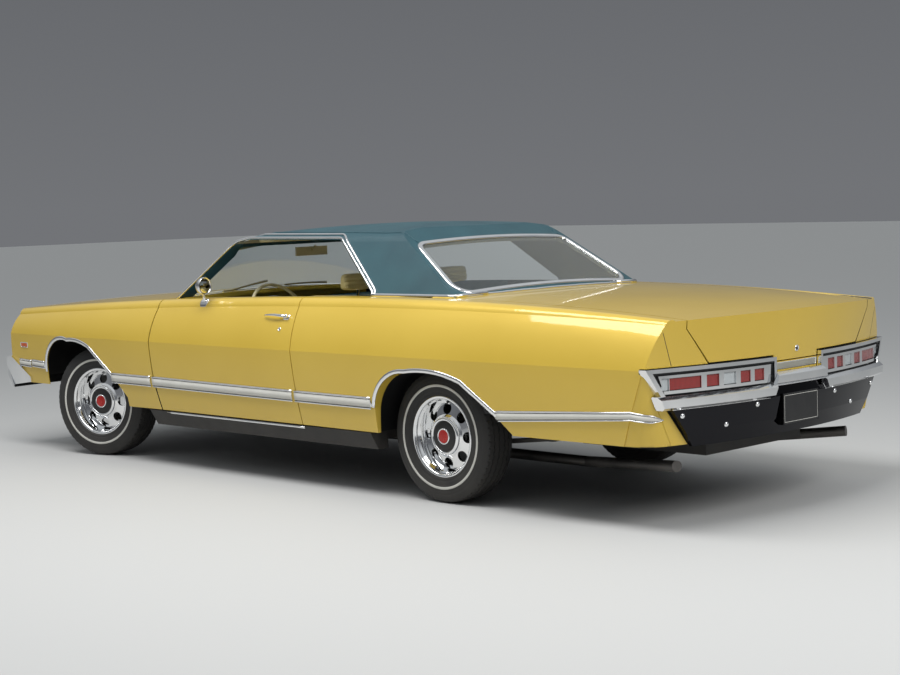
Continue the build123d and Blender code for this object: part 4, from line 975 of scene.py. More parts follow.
# %% [markdown]
# ## Wheel trims
# The road wheel itself is a solid with its eight round holes. On it sit a bright trim ring at the rim's
# edge and a centre cap: a bright stepped ring, a black dish and a small red medallion under a bright ring,
# left plain. All are sections turned about the axle.

# %% Wheel trims
def turned_mesh(name, profile, steps=72, bands=None):
    """A closed section of (radius, out) turned about the axle; out is away from the car."""
    form = bmesh.new()
    rings = []
    for i in range(steps):
        angle = 2 * math.pi * i / steps
        rings.append([form.verts.new((r * math.cos(angle), -a, r * math.sin(angle))) for r, a in profile])
    for first, second in zip(rings, rings[1:] + rings[:1]):
        for k in range(len(profile)):
            n = (k + 1) % len(profile)
            face = form.faces.new((first[k], first[n], second[n], second[k]))
            face.smooth = True
            face.material_index = bands[k] if bands else 0
    bmesh.ops.remove_doubles(form, verts=form.verts, dist=0.00005)
    return finished(form, name)


red_enamel = satin("red_enamel", (0.42, 0.010, 0.008), (0.52, 0.018, 0.012), 0.18, amount=0.05)
TRIM_RING = [(0.1905, 0.074), (0.1985, 0.0855), (0.2060, 0.0885), (0.2115, 0.0875), (0.2125, 0.0845),
             (0.2060, 0.0835), (0.1990, 0.0815), (0.1920, 0.0720)]
CAP_RING = [(0.1000, 0.054), (0.1000, 0.060), (0.0970, 0.0665), (0.0900, 0.0700), (0.0820, 0.0690),
            (0.0800, 0.0640), (0.0800, 0.056)]
CAP_DISH = [(0.0815, 0.058), (0.0815, 0.0650), (0.0700, 0.0685), (0.0560, 0.0705), (0.0440, 0.0725),
            (0.0400, 0.0730), (0.0400, 0.058)]
CAP_BADGE = [(0.0425, 0.060), (0.0425, 0.0745), (0.0395, 0.0765), (0.0360, 0.0760), (0.0350, 0.0745),
             (0.0300, 0.0750), (0.0150, 0.0765), (0.0, 0.0770), (0.0, 0.060)]
for corner, turned in CORNERS:
    place = wheel_place(corner, turned)
    body = "wheel_" + corner
    for name, profile, finishes, bands in (
        ("trim_ring_", TRIM_RING, (chrome,), None),
        ("cap_ring_", CAP_RING, (chrome,), None),
        ("cap_dish_", CAP_DISH, (matt_black,), None),
        ("cap_medallion_", CAP_BADGE, (chrome, red_enamel), [0, 0, 0, 0, 1, 1, 1, 1, 0]),
    ):
        mesh = turned_mesh(name + corner, profile, bands=bands)
        mesh.transform(place)
        piece(name + corner, mesh, body, *finishes)
print("wheel trims on", len(CORNERS), "wheels")

# %% [markdown]
# ## The edge of the vinyl
# The vinyl ends in a bright strip where the rear pillars and the panel under the back window meet the
# painted body. That edge is where two solids meet, and it is found here by sampling: at each station the
# ray is raised until it strikes the vinyl instead of the paint. A thin welt on the roof covers the seam
# between the top and the sides.

# %% Vinyl edge and welts
vinyl_skin = skin("sail_panels")
paint_skin = skin("quarter_left", "quarter_right", "rear_deck", "door_left", "boot_lid")


def first_vinyl(starts, direction):
    """The first start whose ray strikes vinyl before paint, as a point and slope."""
    for start in starts:
        vinyl = vinyl_skin.ray_cast(start, direction)
        paint = paint_skin.ray_cast(start, direction)
        if vinyl[0] and (not paint[0] or vinyl[3] < paint[3]):
            return vinyl[0], vinyl[1]
    return None


inward, down = Vector((0, 1, 0)), Vector((0, 0, -1))
base_line = []
for i in range(30):
    x = FRONT_AXLE + 2.535 + 0.60 * i / 29
    base_line.append(first_vinyl([Vector((x, -1.3, 0.97 + 0.003 * k)) for k in range(80)], inward))
base_line = [(p + Vector((0, 0, 0.004)), Vector((0, -1, 0.5)).normalized()) for p, _ in filter(None, base_line)]
BOLD_BEAD = [(a * 1.5, o * 1.4) for a, o in BEAD]
pair("vinyl_strip", swept("vinyl_strip", base_line, BOLD_BEAD), FIXED, chrome)
print("vinyl strip", len(base_line), "points to", round(base_line[-1][0].x, 3))
deck_line = []
for i in range(49):
    y = -0.72 + 1.44 * i / 48
    deck_line.append(first_vinyl([Vector((FRONT_AXLE + 3.35 - 0.003 * k, y, 1.5)) for k in range(120)], down))
deck_line = [(p, Vector((0.5, 0, 1)).normalized()) for p, _ in filter(None, deck_line)]
piece("vinyl_strip_deck", swept("vinyl_strip_deck", deck_line, BEAD), "body", chrome)
print("deck strip", len(deck_line), "points")

roof_top = skin("roof_panel")
WELT = [(0.0045 * math.cos(a), 0.0035 * math.sin(a)) for a in (math.radians(60 * k) for k in range(6))]
welt_line = []
for x, y in along([(1.28, 0.585), (2.114, 0.600), (2.45, 0.592), (2.675, 0.572)], 0.03):
    place, slope, _, _ = roof_top.ray_cast(Vector((FRONT_AXLE + x, -y, 2.0)), down)
    if place:
        welt_line.append((place, slope))
pair("roof_welt", swept("roof_welt", smooth_slopes(welt_line, 2), WELT), FIXED, roof_vinyl)
print("welt", len(welt_line), "points")

# %% [markdown]
# ## Tail lamps and rear bumper
# The lenses are one CAD node with twelve solids, so their two colours come from where a lens stands across
# the car: a shared group turns a distance from the middle into a mask. The bumper uses the same idea: its
# bar and loops are bright, and the deep face below the bar is painted near black, a painted reflection of a
# dark ground on the chrome.

# %% Lamp lenses
bands_group, bands_in, bands_out = group("across_band", [("Low", 0.0), ("High", 1.0)], ["Mask"])
across = calc(bands_group, "ABSOLUTE", object_axes(bands_group)[1])
over = calc(bands_group, "GREATER_THAN", across, bands_in.outputs["Low"])
below = calc(bands_group, "LESS_THAN", across, bands_in.outputs["High"])
bands_group.links.new(calc(bands_group, "MULTIPLY", over, below), bands_out.inputs["Mask"])

lamp_lens, tree, shader = material("lamp_lens")
outer_clear = place_group(tree, bands_group, Low=0.863, High=0.906)
inner_clear = place_group(tree, bands_group, Low=0.464, High=0.546)
clear = calc(tree, "MAXIMUM", outer_clear.outputs["Mask"], inner_clear.outputs["Mask"])
flutes = tree.nodes.new("ShaderNodeTexWave")
flutes.wave_profile = "SIN"
flutes.bands_direction = "Y"
flutes.inputs["Scale"].default_value = 45.0
lens_pos = tree.nodes.new("ShaderNodeTexCoord")
tree.links.new(lens_pos.outputs["Object"], flutes.inputs["Vector"])
red = colour_mix(tree, flutes.outputs["Fac"], (0.15, 0.006, 0.005), (0.36, 0.017, 0.012))
pale = colour_mix(tree, flutes.outputs["Fac"], (0.34, 0.37, 0.38), (0.58, 0.61, 0.62))
both = tree.nodes.new("ShaderNodeMix")
both.data_type = "RGBA"
tree.links.new(clear, both.inputs[0])
tree.links.new(red, both.inputs[6])
tree.links.new(pale, both.inputs[7])
tree.links.new(both.outputs[2], shader.inputs["Base Color"])
shader.inputs["Roughness"].default_value = 0.12
shader.inputs["Coat Weight"].default_value = 1.0
bump(tree, shader, flutes.outputs["Fac"], 0.4, 0.002)
dress("tail_lamps", lamp_lens)
print("lenses dressed")

# %% [markdown]
# ## Lamp bays
# The panel behind the lamps is black in the two lamp bays and body colour between them. Splitting the solid
# would do it too, but the same band mask that colours the lenses paints both in one material.

# %% Lamp bays
bay_paint, tree, shader = material("lamp_bay_paint")
bays = place_group(tree, bands_group, Low=0.186, High=2.0)
tone = place_group(tree, cloud, Scale=8.0)
bay_gold = colour_mix(tree, tone.outputs["Value"], GOLD_LOW, GOLD_HIGH)
bay_black = layer(tree, bays.outputs["Mask"], bay_gold, (0.008, 0.008, 0.009))
tree.links.new(bay_black, shader.inputs["Base Color"])
tree.links.new(value_range(tree, tone.outputs["Value"], 0.30, 0.42), shader.inputs["Roughness"])
dress("tail_panel", bay_paint)
print("lamp bays dressed")

# %% [markdown]
# ## Bumper finish
# The bright bar of the bumper steps up in the middle, above the plate. A height that depends on the
# distance from the middle follows that step, and below it the chrome is painted near black, a painted
# reflection of a dark ground.

# %% Bumper finish
BAR_LOW, BAR_RISE = 0.575, 0.054
bumper_chrome_painted_dark_face, tree, shader = material("bumper_chrome_painted_dark_face")
_, y, z = object_axes(tree)
bar_low = tree.nodes.new("ShaderNodeMapRange")
bar_low.inputs["From Min"].default_value = 0.206
bar_low.inputs["From Max"].default_value = 0.236
bar_low.inputs["To Min"].default_value = BAR_LOW + BAR_RISE
bar_low.inputs["To Max"].default_value = BAR_LOW
tree.links.new(calc(tree, "ABSOLUTE", y), bar_low.inputs["Value"])
# Painted reflection: below this height the chrome's colour is set near black, as if it mirrored a dark ground.
under = calc(tree, "LESS_THAN", z, bar_low.outputs["Result"])
haze = place_group(tree, cloud, Scale=6.0)
bright = colour_mix(tree, haze.outputs["Value"], CHROME_LOW, CHROME_HIGH)
tree.links.new(layer(tree, under, bright, (0.022, 0.022, 0.025)), shader.inputs["Base Color"])
tree.links.new(value_range(tree, haze.outputs["Value"], 0.04, 0.09), shader.inputs["Roughness"])
shader.inputs["Metallic"].default_value = 1.0
dress("rear_bumper", bumper_chrome_painted_dark_face)
print("bumper dressed")

# %% [markdown]
# ## Plates and small fittings of the tail
# A plate is a stack of rounded outlines, each a little further in and a little further out: edge, rim and
# field. One helper makes the stack flat, and its points are then dropped on to the bowed tail or the
# leaning side by rays. The number plate and the panel between the lamps are left bare.

# %% Plates
def plate_mesh(name, half_w, half_h, radius, layers, bands, cuts=0):
    """A stack of rounded rectangles (inset, out), joined by strips; strip k takes the finish bands[k].

    The cuts across it let a long plate bend."""
    form = bmesh.new()
    rings = []
    for inset, out in layers:
        w, h, r = half_w - inset, half_h - inset, max(0.0008, radius - inset)
        ring = []
        for cx, cz, first in ((w - r, h - r, 0), (r - w, h - r, 90), (r - w, r - h, 180), (w - r, r - h, 270)):
            for k in range(6):
                a = math.radians(first + 18 * k)
                ring.append(form.verts.new((cx + r * math.cos(a), cz + r * math.sin(a), out)))
        rings.append(ring)
    for strip, (first, second) in enumerate(zip(rings, rings[1:])):
        for k in range(len(first)):
            n = (k + 1) % len(first)
            form.faces.new((first[k], first[n], second[n], second[k])).material_index = bands[strip]
    form.faces.new(list(reversed(rings[0]))).material_index = bands[0]
    form.faces.new(rings[-1]).material_index = bands[-1]
    for k in range(1, cuts + 1):
        whole = list(form.verts) + list(form.edges) + list(form.faces)
        place = (half_w * (2 * k / (cuts + 1) - 1), 0, 0)
        bmesh.ops.bisect_plane(form, geom=whole, plane_co=place, plane_no=(1, 0, 0))
    bmesh.ops.triangulate(form, faces=[f for f in form.faces if len(f.verts) > 4])
    return finished(form, name)


tail_skin = skin("tail_panel", "boot_lid", "rear_bumper", "quarter_left", "quarter_right")


def on_tail(mesh, y, z):
    """The plate's points dropped on to the tail round (y, z), out along +X."""
    for v in mesh.vertices:
        u, w, out = v.co
        place = tail_skin.ray_cast(Vector((4, y + u, z + w)), Vector((-1, 0, 0)))[0]
        v.co = (place.x + out, y + u, z + w)


def on_side(mesh, x, z, tree):
    """The plate's points dropped on to the left side round (x from the front axle, z), out along -Y."""
    for v in mesh.vertices:
        u, w, out = v.co
        place = tree.ray_cast(Vector((FRONT_AXLE + x + u, -1.3, z + w)), inward)[0]
        v.co = (FRONT_AXLE + x + u, place.y - out, z + w)
    mesh.flip_normals()


brushed = metal("brushed_panel", (0.52, 0.50, 0.42), (0.62, 0.60, 0.52), 0.30, 0.12)
mesh = plate_mesh("number_plate", 0.1495, 0.0735, 0.012,
                  [(0, -0.001), (0, 0.0012), (0.001, 0.0022), (0.0065, 0.0022), (0.0085, 0.0012),
                   (0.0105, 0.0012), (0.0125, 0.0012), (0.03, 0.0012)], [1, 1, 1, 1, 0, 1, 1])
on_tail(mesh, 0.0, 0.5125)
piece("number_plate", mesh, "body", white_insert, matt_black)
mesh = plate_mesh("tail_panel_plate", 0.178, 0.018, 0.004,
                  [(0, -0.002), (0, 0.003), (0.0015, 0.0045), (0.004, 0.0045), (0.005, 0.003), (0.010, 0.003)],
                  [0, 0, 0, 0, 1], cuts=9)
on_tail(mesh, 0.0, 0.7190)
piece("tail_panel_plate", mesh, "body", chrome, brushed)
print("plates on the tail")

# %% [markdown]
# ## Bolts and keyholes
# Bumper bolts, the boot's keyhole and the plate's screws are small turned pieces. One helper turns the
# section and sets it square to the tail where a ray strikes it, so that no angle has to be guessed.

# %% Bolts and keyholes
BOLT = [(0.0, 0.0), (0.013, 0.0), (0.013, 0.002), (0.011, 0.006), (0.006, 0.0085), (0.0, 0.009)]
KEY_RING = [(0.0, -0.002), (0.016, -0.002), (0.016, 0.003), (0.0135, 0.005), (0.011, 0.004), (0.009, 0.0015),
            (0.0, 0.0015)]
REARWARD = Matrix.Rotation(math.radians(90), 4, "Z")


def fitting_on_tail(name, profile, y, z, body, *finishes, bands=None):
    """A small turned fitting, square to the tail at (y, z)."""
    place, slope, _, _ = tail_skin.ray_cast(Vector((4, y, z)), Vector((-1, 0, 0)))
    mesh = turned_mesh(name, profile, 24, bands)
    turn = Vector((0, -1, 0)).rotation_difference(slope if slope.x > 0 else -slope).to_matrix().to_4x4()
    mesh.transform(Matrix.Translation(place) @ turn)
    return piece(name, mesh, body, *finishes)


for i, (y, z) in enumerate([(0.33, 0.555), (0.53, 0.480), (0.80, 0.545)]):
    for side, sign in (("left", -1), ("right", 1)):
        fitting_on_tail(f"bumper_bolt_{i}_{side}", BOLT, sign * y, z, "body", chrome)
KEY_BANDS = [0, 0, 0, 0, 0, 1, 1]
fitting_on_tail("boot_keyhole", KEY_RING, 0.0, 0.795, "boot_lid", chrome, matt_black, bands=KEY_BANDS)
for side, y in (("left", -0.089), ("right", 0.089)):
    fitting_on_tail("plate_screw_" + side, [(r * 0.55, a * 0.6) for r, a in BOLT], y, 0.568, "body", chrome)
print("tail fittings done")

# %% [markdown]
# ## Quarter seam
# A fine seam runs down the rear end of each quarter. A groove would need the solid cut; a hair-thin black
# strip laid on the skin stands for the groove as painted shade.

# %% Quarter seam
seam_line = []
for i in range(13):
    y, z = -0.900 + 0.060 * i / 12, 0.945 - 0.172 * i / 12
    place, slope, _, _ = tail_skin.ray_cast(Vector((4, y, z)), Vector((-1, 0, 0)))
    seam_line.append((place, slope if slope.x > 0 else -slope))
SEAM = [(-0.0015, -0.001), (-0.0015, 0.0004), (0.0015, 0.0004), (0.0015, -0.001)]
# Painted shade: the matt black strip stands for the shadow in the seam's groove.
pair("quarter_seam", swept("quarter_seam", smooth_slopes(seam_line, 2), SEAM), FIXED, matt_black)
print("quarter seam", len(seam_line), "points")

# %% [markdown]
# ## Door handles, locks and side markers
# The handle is a bar that lifts off the door in a long low arch, thin at the front and thick at the button.
# Its line starts from points on the door and is raised by a share of a half sine. The lock and the button
# are turned pieces.

# %% Door handles
door_skin = skin("door_left")
HANDLE_FROM, HANDLE_TO, HANDLE_Z = 1.826, 2.010, 0.937
HANDLE_LIFT = 0.022
bar_line = []
for i in range(25):
    t = i / 24
    place, slope = side_points(door_skin, [(HANDLE_FROM + (HANDLE_TO - HANDLE_FROM) * t, HANDLE_Z)])[0]
    lift = 0.003 + HANDLE_LIFT * math.sin(math.pi * min(1.0, 0.06 + 0.94 * t)) ** 0.5
    bar_line.append((place + slope * lift, slope))
OVAL = [(0.0085 * math.cos(a), 0.0055 * math.sin(a)) for a in (math.radians(30 * k) for k in range(12))]
bar = swept("door_handle", bar_line, OVAL, taper=sized([(0, 0.45), (0.5, 0.85), (1.0, 1.1)]))
pair("door_handle", bar, DOORS, chrome)
SCUTCHEON = [(0, -0.003), (0, 0.002), (0.003, 0.004), (0.008, 0.004)]
mesh = plate_mesh("handle_plate", 0.026, 0.014, 0.010, SCUTCHEON, [0, 0, 0])
on_side(mesh, 2.003, HANDLE_Z, door_skin)
pair("handle_plate", mesh, DOORS, chrome)


def fitting_on_side(name, profile, x, z, tree, bodies, *finishes, bands=None):
    """A small turned fitting, square to the left side, and its mirror image."""
    place, slope = side_points(tree, [(x, z)])[0]
    mesh = turned_mesh(name, profile, 24, bands)
    turn = Vector((0, -1, 0)).rotation_difference(slope).to_matrix().to_4x4()
    mesh.transform(Matrix.Translation(place) @ turn)
    return pair(name, mesh, bodies, *finishes)


BUTTON = [(0.0, 0.002), (0.0105, 0.002), (0.0105, 0.022), (0.0085, 0.0245), (0.0, 0.0255)]
fitting_on_side("handle_button", BUTTON, 2.016, HANDLE_Z, door_skin, DOORS, chrome)
DOOR_KEY = [(r * 0.7, a) for r, a in KEY_RING]
fitting_on_side("door_lock", DOOR_KEY, 1.973, 0.871, door_skin, DOORS, chrome, matt_black, bands=KEY_BANDS)
print("handles and locks on both doors")

# %% [markdown]
# ## Side markers
# Ahead of each front wheel sits an amber marker lamp in a bright frame. It is a plate like those of the
# tail, dropped on to the fender by rays.

# %% Side markers
amber = satin("amber_lens", (0.50, 0.075, 0.010), (0.62, 0.11, 0.015), 0.15, amount=0.05)
MARKER = [(0, -0.003), (0, 0.003), (0.002, 0.005), (0.005, 0.005), (0.006, 0.003), (0.009, 0.0045),
          (0.014, 0.0055)]
mesh = plate_mesh("side_marker", 0.044, 0.017, 0.005, MARKER, [0, 0, 0, 0, 1, 1])
on_side(mesh, -0.630, 0.688, left_side)
pair("side_marker", mesh, FIXED, chrome, amber)
print("markers done")

# %% [markdown]
# ## Door mirror
# The driver's mirror is a round bright shell on a leaning stalk and a teardrop foot. The solid model has
# only its rough form, which these pieces replace. The shell and the glass are turned about the car's
# length.

# %% Door mirror
MIRROR_X, MIRROR_Y, MIRROR_Z = FRONT_AXLE + 1.255, -0.940, 1.098
SHELL = [(0.0, 0.020), (0.040, 0.020), (0.0475, 0.018), (0.050, 0.026), (0.0515, 0.022), (0.052, 0.010),
         (0.046, -0.014), (0.033, -0.032), (0.016, -0.041), (0.0, -0.043)]
shell = turned_mesh("mirror_shell", SHELL, 48, [1, 1, 0, 0, 0, 0, 0, 0, 0, 0])
narrow = Matrix.Scale(0.88, 4, (1, 0, 0))
shell.transform(Matrix.Translation((MIRROR_X, MIRROR_Y, MIRROR_Z)) @ REARWARD @ narrow)
mirror_glass = metal("mirror_glass", (0.86, 0.87, 0.88), (0.90, 0.90, 0.91), 0.01, 0.02)
mirror_shell = piece("mirror_shell", shell, "door_left", chrome, mirror_glass)
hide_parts("door_mirror")
foot_place = door_skin.ray_cast(Vector((MIRROR_X - 0.045, -0.895, 1.5)), down)[0]
stalk = [foot_place, foot_place + Vector((0.004, -0.006, 0.03)), Vector((MIRROR_X - 0.022, -0.925, 1.062)),
         Vector((MIRROR_X - 0.006, MIRROR_Y, MIRROR_Z - 0.020))]
ROUND = [(0.0085 * math.cos(a), 0.0085 * math.sin(a)) for a in (math.radians(30 * k) for k in range(12))]
stalk_line = [(Vector(p), Vector((1, 0, 0))) for p in along(stalk, 0.008)]
piece("mirror_stalk", swept("mirror_stalk", stalk_line, ROUND), "door_left", chrome)
foot = plate_mesh("mirror_foot", 0.036, 0.015, 0.014, [(0, -0.004), (0, 0.003), (0.002, 0.006), (0.008, 0.009)],
                  [0, 0, 0])
for v in foot.vertices:
    u, w, out = v.co
    place = door_skin.ray_cast(Vector((foot_place.x + u, foot_place.y + w, 1.5)), down)[0]
    v.co = (foot_place.x + u, foot_place.y + w, place.z + out)
piece("mirror_foot", foot, "door_left", chrome)
print("mirror at", [round(c, 3) for c in (MIRROR_X, MIRROR_Y, MIRROR_Z)])

# %% [markdown]
# ## Seats
# A seat is foam under a stretched cover, so it bulges between its edges and pulls in at its seams. A
# subdivided box would look like soap. Here the seat's side outline is made into a block a little smaller
# than the seat, remeshed into even small faces, and blown up by a short cloth simulation with inner
# pressure; no point may move further than a set cap. The sewn channels are pressed in afterwards, because
# the remesh would wipe them out.

# %% Cushion helper
scene, LAST_MOMENT = bpy.context.scene, 20


def prism_block(outline, y0, y1, shrink):
    """A block of a side outline (x from the front axle, z) between two widths, drawn in on all sides."""
    form = bmesh.new()
    middle = sum((Vector(p) for p in outline), Vector((0, 0))) / len(outline)
    rings = []
    for y in (y0 + shrink, y1 - shrink):
        ring = []
        for p in outline:
            away = Vector(p) - middle
            q = Vector(p) - away.normalized() * shrink
            ring.append(form.verts.new((FRONT_AXLE + q.x, y, q.y)))
        rings.append(ring)
    for k in range(len(outline)):
        n = (k + 1) % len(outline)
        form.faces.new((rings[0][k], rings[0][n], rings[1][n], rings[1][k]))
    form.faces.new(rings[0])
    form.faces.new(list(reversed(rings[1])))
    bmesh.ops.recalc_face_normals(form, faces=form.faces)
    bmesh.ops.bevel(form, geom=list(form.edges), offset=0.022, segments=3, affect="EDGES", profile=0.5)
    mesh = bpy.data.meshes.new("cushion_block")
    form.to_mesh(mesh)
    form.free()
    return mesh


def evaluated_copy(obj):
    """The mesh of an object with its modifiers, as a mesh of its own."""
    bpy.context.view_layer.update()
    shown = obj.evaluated_get(bpy.context.evaluated_depsgraph_get())
    return bpy.data.meshes.new_from_object(shown)


def stuffed(name, block, voxel, cap, press=4.0):
    """A cushion: the block remeshed, blown up by cloth under pressure, capped, and subdivided once."""
    obj = bpy.data.objects.new(name, block)
    bpy.context.collection.objects.link(obj)
    remesh = obj.modifiers.new("even_faces", "REMESH")
    remesh.mode = "VOXEL"
    remesh.voxel_size = voxel
    obj.data = evaluated_copy(obj)
    obj.modifiers.clear()
    start = [v.co.copy() for v in obj.data.vertices]
    cloth = obj.modifiers.new("stuffing", "CLOTH")
    cloth.settings.use_pressure = True
    cloth.settings.uniform_pressure_force = press
    cloth.settings.effector_weights.gravity = 0.0
    cloth.settings.quality = 4
    cloth.collision_settings.use_collision = False
    cloth.point_cache.frame_start, cloth.point_cache.frame_end = 1, LAST_MOMENT
    for moment in range(1, LAST_MOMENT + 1):
        scene.frame_set(moment)
    blown = evaluated_copy(obj)
    obj.modifiers.clear()
    for v, place, at in zip(obj.data.vertices, start, blown.vertices):
        move = at.co - place
        if move.length > cap:
            move *= cap / move.length
        v.co = place + move
    bpy.data.meshes.remove(blown)
    scene.frame_set(1)
    smooth = obj.modifiers.new("one_step", "SUBSURF")
    smooth.levels = smooth.render_levels = 1
    obj.data = evaluated_copy(obj)
    obj.modifiers.clear()
    obj.data.name = name
    for face in obj.data.polygons:
        face.use_smooth = True
    return obj


def press_channels(obj, depth):
    """Sewn channels: each point sinks along its normal by depth(point, normal)."""
    normals = [v.normal.copy() for v in obj.data.vertices]
    for v, normal in zip(obj.data.vertices, normals):
        v.co -= normal * depth(v.co, normal)


def groove(distance, width):
    """1 on a seam line, falling to 0 a width away from it."""
    return math.exp(-(distance / width) ** 2)


def upholster(obj, finish):
    """Covers a cushion, sets it in the car and prints how many faces it has."""
    obj.data.materials.clear()
    obj.data.materials.append(finish)
    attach(obj, "body")
    print(obj.name, len(obj.data.polygons), "faces")


# %% [markdown]
# ## Front seat
# The front seat is a full bench with sewn channels in the middle field of its cushion and back. Both are
# blown up from a side outline by the helper above, and the cushion stands for the plain block of the solid
# model.

# %% Front seat
SEAT_X, SEAT_HALF = 1.370, 0.700
PLEAT = 0.088
CUSHION = [(SEAT_X, 0.446), (SEAT_X, 0.555), (SEAT_X + 0.080, 0.585), (SEAT_X + 0.470, 0.545),
           (SEAT_X + 0.470, 0.446)]
BACK = [(SEAT_X + 0.440, 0.480), (SEAT_X + 0.560, 1.000), (SEAT_X + 0.620, 1.015), (SEAT_X + 0.660, 0.990),
        (SEAT_X + 0.620, 0.480)]


def bench_channels(x0, x1, z0, z1, half, front_facing):
    """Channels that run up and down a bench in its middle field, with a border seam round the field."""
    def depth(p, normal):
        x, z = p.x - FRONT_AXLE, p.z
        run = z if front_facing else x
        low, high = (z0, z1) if front_facing else (x0, x1)
        facing = -normal.x if front_facing else normal.z
        if facing < 0.3 or run < low - 0.02 or run > high + 0.02 or abs(p.y) > half + 0.02:
            return 0.0
        border = max(groove(run - low, 0.009), groove(run - high, 0.009))
        field = 0.0
        if low < run < high and abs(p.y) < half:
            field = groove((p.y + PLEAT / 2) % PLEAT - PLEAT / 2, 0.010)
        return 0.009 * max(border if abs(p.y) < half else 0.0, field, groove(abs(p.y) - half, 0.009))
    return depth


front_cushion = stuffed("front_seat_cushion", prism_block(CUSHION, -SEAT_HALF, SEAT_HALF, 0.016), 0.013, 0.026)
press_channels(front_cushion, bench_channels(SEAT_X + 0.07, SEAT_X + 0.43, 0, 0, 0.60, False))
upholster(front_cushion, seat_vinyl)
front_back = stuffed("front_seat_back", prism_block(BACK, -SEAT_HALF, SEAT_HALF, 0.014), 0.013, 0.024)
press_channels(front_back, bench_channels(0, 0, 0.58, 0.93, 0.60, True))
upholster(front_back, seat_vinyl)
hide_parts("front_seat")

# %% [markdown]
# ## Headrests
# Two small headrests stand on bright posts. They are cushions too, with finer faces, because their seams
# are closer.

# %% Headrests
REST_FROM, REST_TO, REST_LOW, REST_HIGH = SEAT_X + 0.560, SEAT_X + 0.650, 1.050, 1.160
REST_LINE = [(REST_FROM, REST_LOW), (REST_FROM + 0.012, REST_HIGH), (REST_TO - 0.012, REST_HIGH),
             (REST_TO, REST_LOW)]
for side, y in (("left", -0.38), ("right", 0.38)):
    rest = stuffed("headrest_" + side, prism_block(REST_LINE, y - 0.13, y + 0.13, 0.012), 0.006, 0.022)
    press_channels(rest, lambda p, n: 0.005 * max(groove(p.z - z, 0.005) for z in (1.080, 1.105, 1.130))
                   if abs(n.x) > 0.4 else 0.0)
    upholster(rest, seat_vinyl)
    post = [Vector((FRONT_AXLE + SEAT_X + 0.600, y, 0.985)), Vector((FRONT_AXLE + SEAT_X + 0.607, y, 1.065))]
    post_line = [(Vector(p), Vector((1, 0, 0))) for p in along(post, 0.01)]
    piece("headrest_post_" + side, swept("headrest_post_" + side, post_line, ROUND), "body", chrome)

# %% [markdown]
# ## Seat base
# Under the cushion a dark box hides the springs. A block with soft edges is all that shows of it.

# %% Seat base
BASE = [(SEAT_X + 0.03, 0.300), (SEAT_X + 0.02, 0.455), (SEAT_X + 0.50, 0.470), (SEAT_X + 0.44, 0.300)]
piece("front_seat_base", prism_block(BASE, -0.66, 0.66, 0.0), "body", trim_vinyl)
print("seat base under the bench")

# %% [markdown]
# ## Rear seat
# The rear bench sits on the step in the floor, ahead of the axle. It is made as the front one is.

# %% Rear seat
KICK = WHEELBASE - 0.580
REAR_CUSHION = [(KICK + 0.004, 0.517), (KICK + 0.004, 0.610), (KICK + 0.060, 0.632), (KICK + 0.430, 0.600),
                (KICK + 0.430, 0.517)]
REAR_BACK = [(KICK + 0.395, 0.560), (KICK + 0.480, 0.975), (KICK + 0.520, 0.990), (KICK + 0.552, 0.985),
             (KICK + 0.552, 0.560)]
rear_cushion = stuffed("rear_seat_cushion", prism_block(REAR_CUSHION, -0.600, 0.600, 0.014), 0.013, 0.022)
press_channels(rear_cushion, bench_channels(KICK + 0.07, KICK + 0.36, 0, 0, 0.52, False))
upholster(rear_cushion, seat_vinyl)
rear_back = stuffed("rear_seat_back", prism_block(REAR_BACK, -0.600, 0.600, 0.014), 0.013, 0.020)
press_channels(rear_back, bench_channels(0, 0, 0.66, 0.93, 0.52, True))
upholster(rear_back, seat_vinyl)
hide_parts("rear_seat")

# %% [markdown]
# ## Cabin
# Through the open sides one sees door trim panels with pleated fields and arm rests, the dash with its
# dials, the steering wheel's horn ring, sun visors, floor mats and the shelf behind the rear seat. Most are
# dropped by rays on to the CAD solid that carries them.

# %% Door trim panels
card_vinyl = grained("card_vinyl", TRIM_TEAL, (0.042, 0.110, 0.132), 0.45, 380.0, 0.0008)
CARD_X0, CARD_X1, CARD_Z0, CARD_Z1 = 0.900, 2.030, 0.400, 0.955
CARD_PLEAT, CARD_RISE, CARD_EDGE = 0.062, 0.009, 0.02
FIELD_X0, FIELD_X1, FIELD_Z0, FIELD_Z1 = 0.98, 1.95, 0.52, 0.80
form = bmesh.new()
columns, rows = 150, 46
grid = []
for i in range(columns + 1):
    column = []
    for k in range(rows + 1):
        x = CARD_X0 + (CARD_X1 - CARD_X0) * i / columns
        z = CARD_Z0 + (CARD_Z1 - CARD_Z0) * k / rows
        edge = min(x - CARD_X0, CARD_X1 - x, z - CARD_Z0, CARD_Z1 - z)
        rise = CARD_RISE * min(1.0, edge / CARD_EDGE) ** 0.5
        if FIELD_Z0 < z < FIELD_Z1 and FIELD_X0 < x < FIELD_X1:
            rise += 0.004 - 0.008 * groove((x + CARD_PLEAT / 2) % CARD_PLEAT - CARD_PLEAT / 2, 0.009)
        place = door_skin.ray_cast(Vector((FRONT_AXLE + x, -0.4, z)), Vector((0, -1, 0)))[0]
        column.append(form.verts.new((FRONT_AXLE + x, place.y - 0.001 + rise, z)))
    grid.append(column)
for a, b in zip(grid, grid[1:]):
    for k in range(rows):
        form.faces.new((a[k], a[k + 1], b[k + 1], b[k])).smooth = True
card = bpy.data.meshes.new("door_card")
form.to_mesh(card)
form.free()
pair("door_card", card, DOORS, card_vinyl)
CARD_STRIP = [(-0.005, 0.0), (-0.005, 0.003), (0.0, 0.006), (0.005, 0.003), (0.005, 0.0)]
inner_y = door_skin.ray_cast(Vector((FRONT_AXLE + 1.4, -0.4, 0.6)), Vector((0, -1, 0)))[0].y
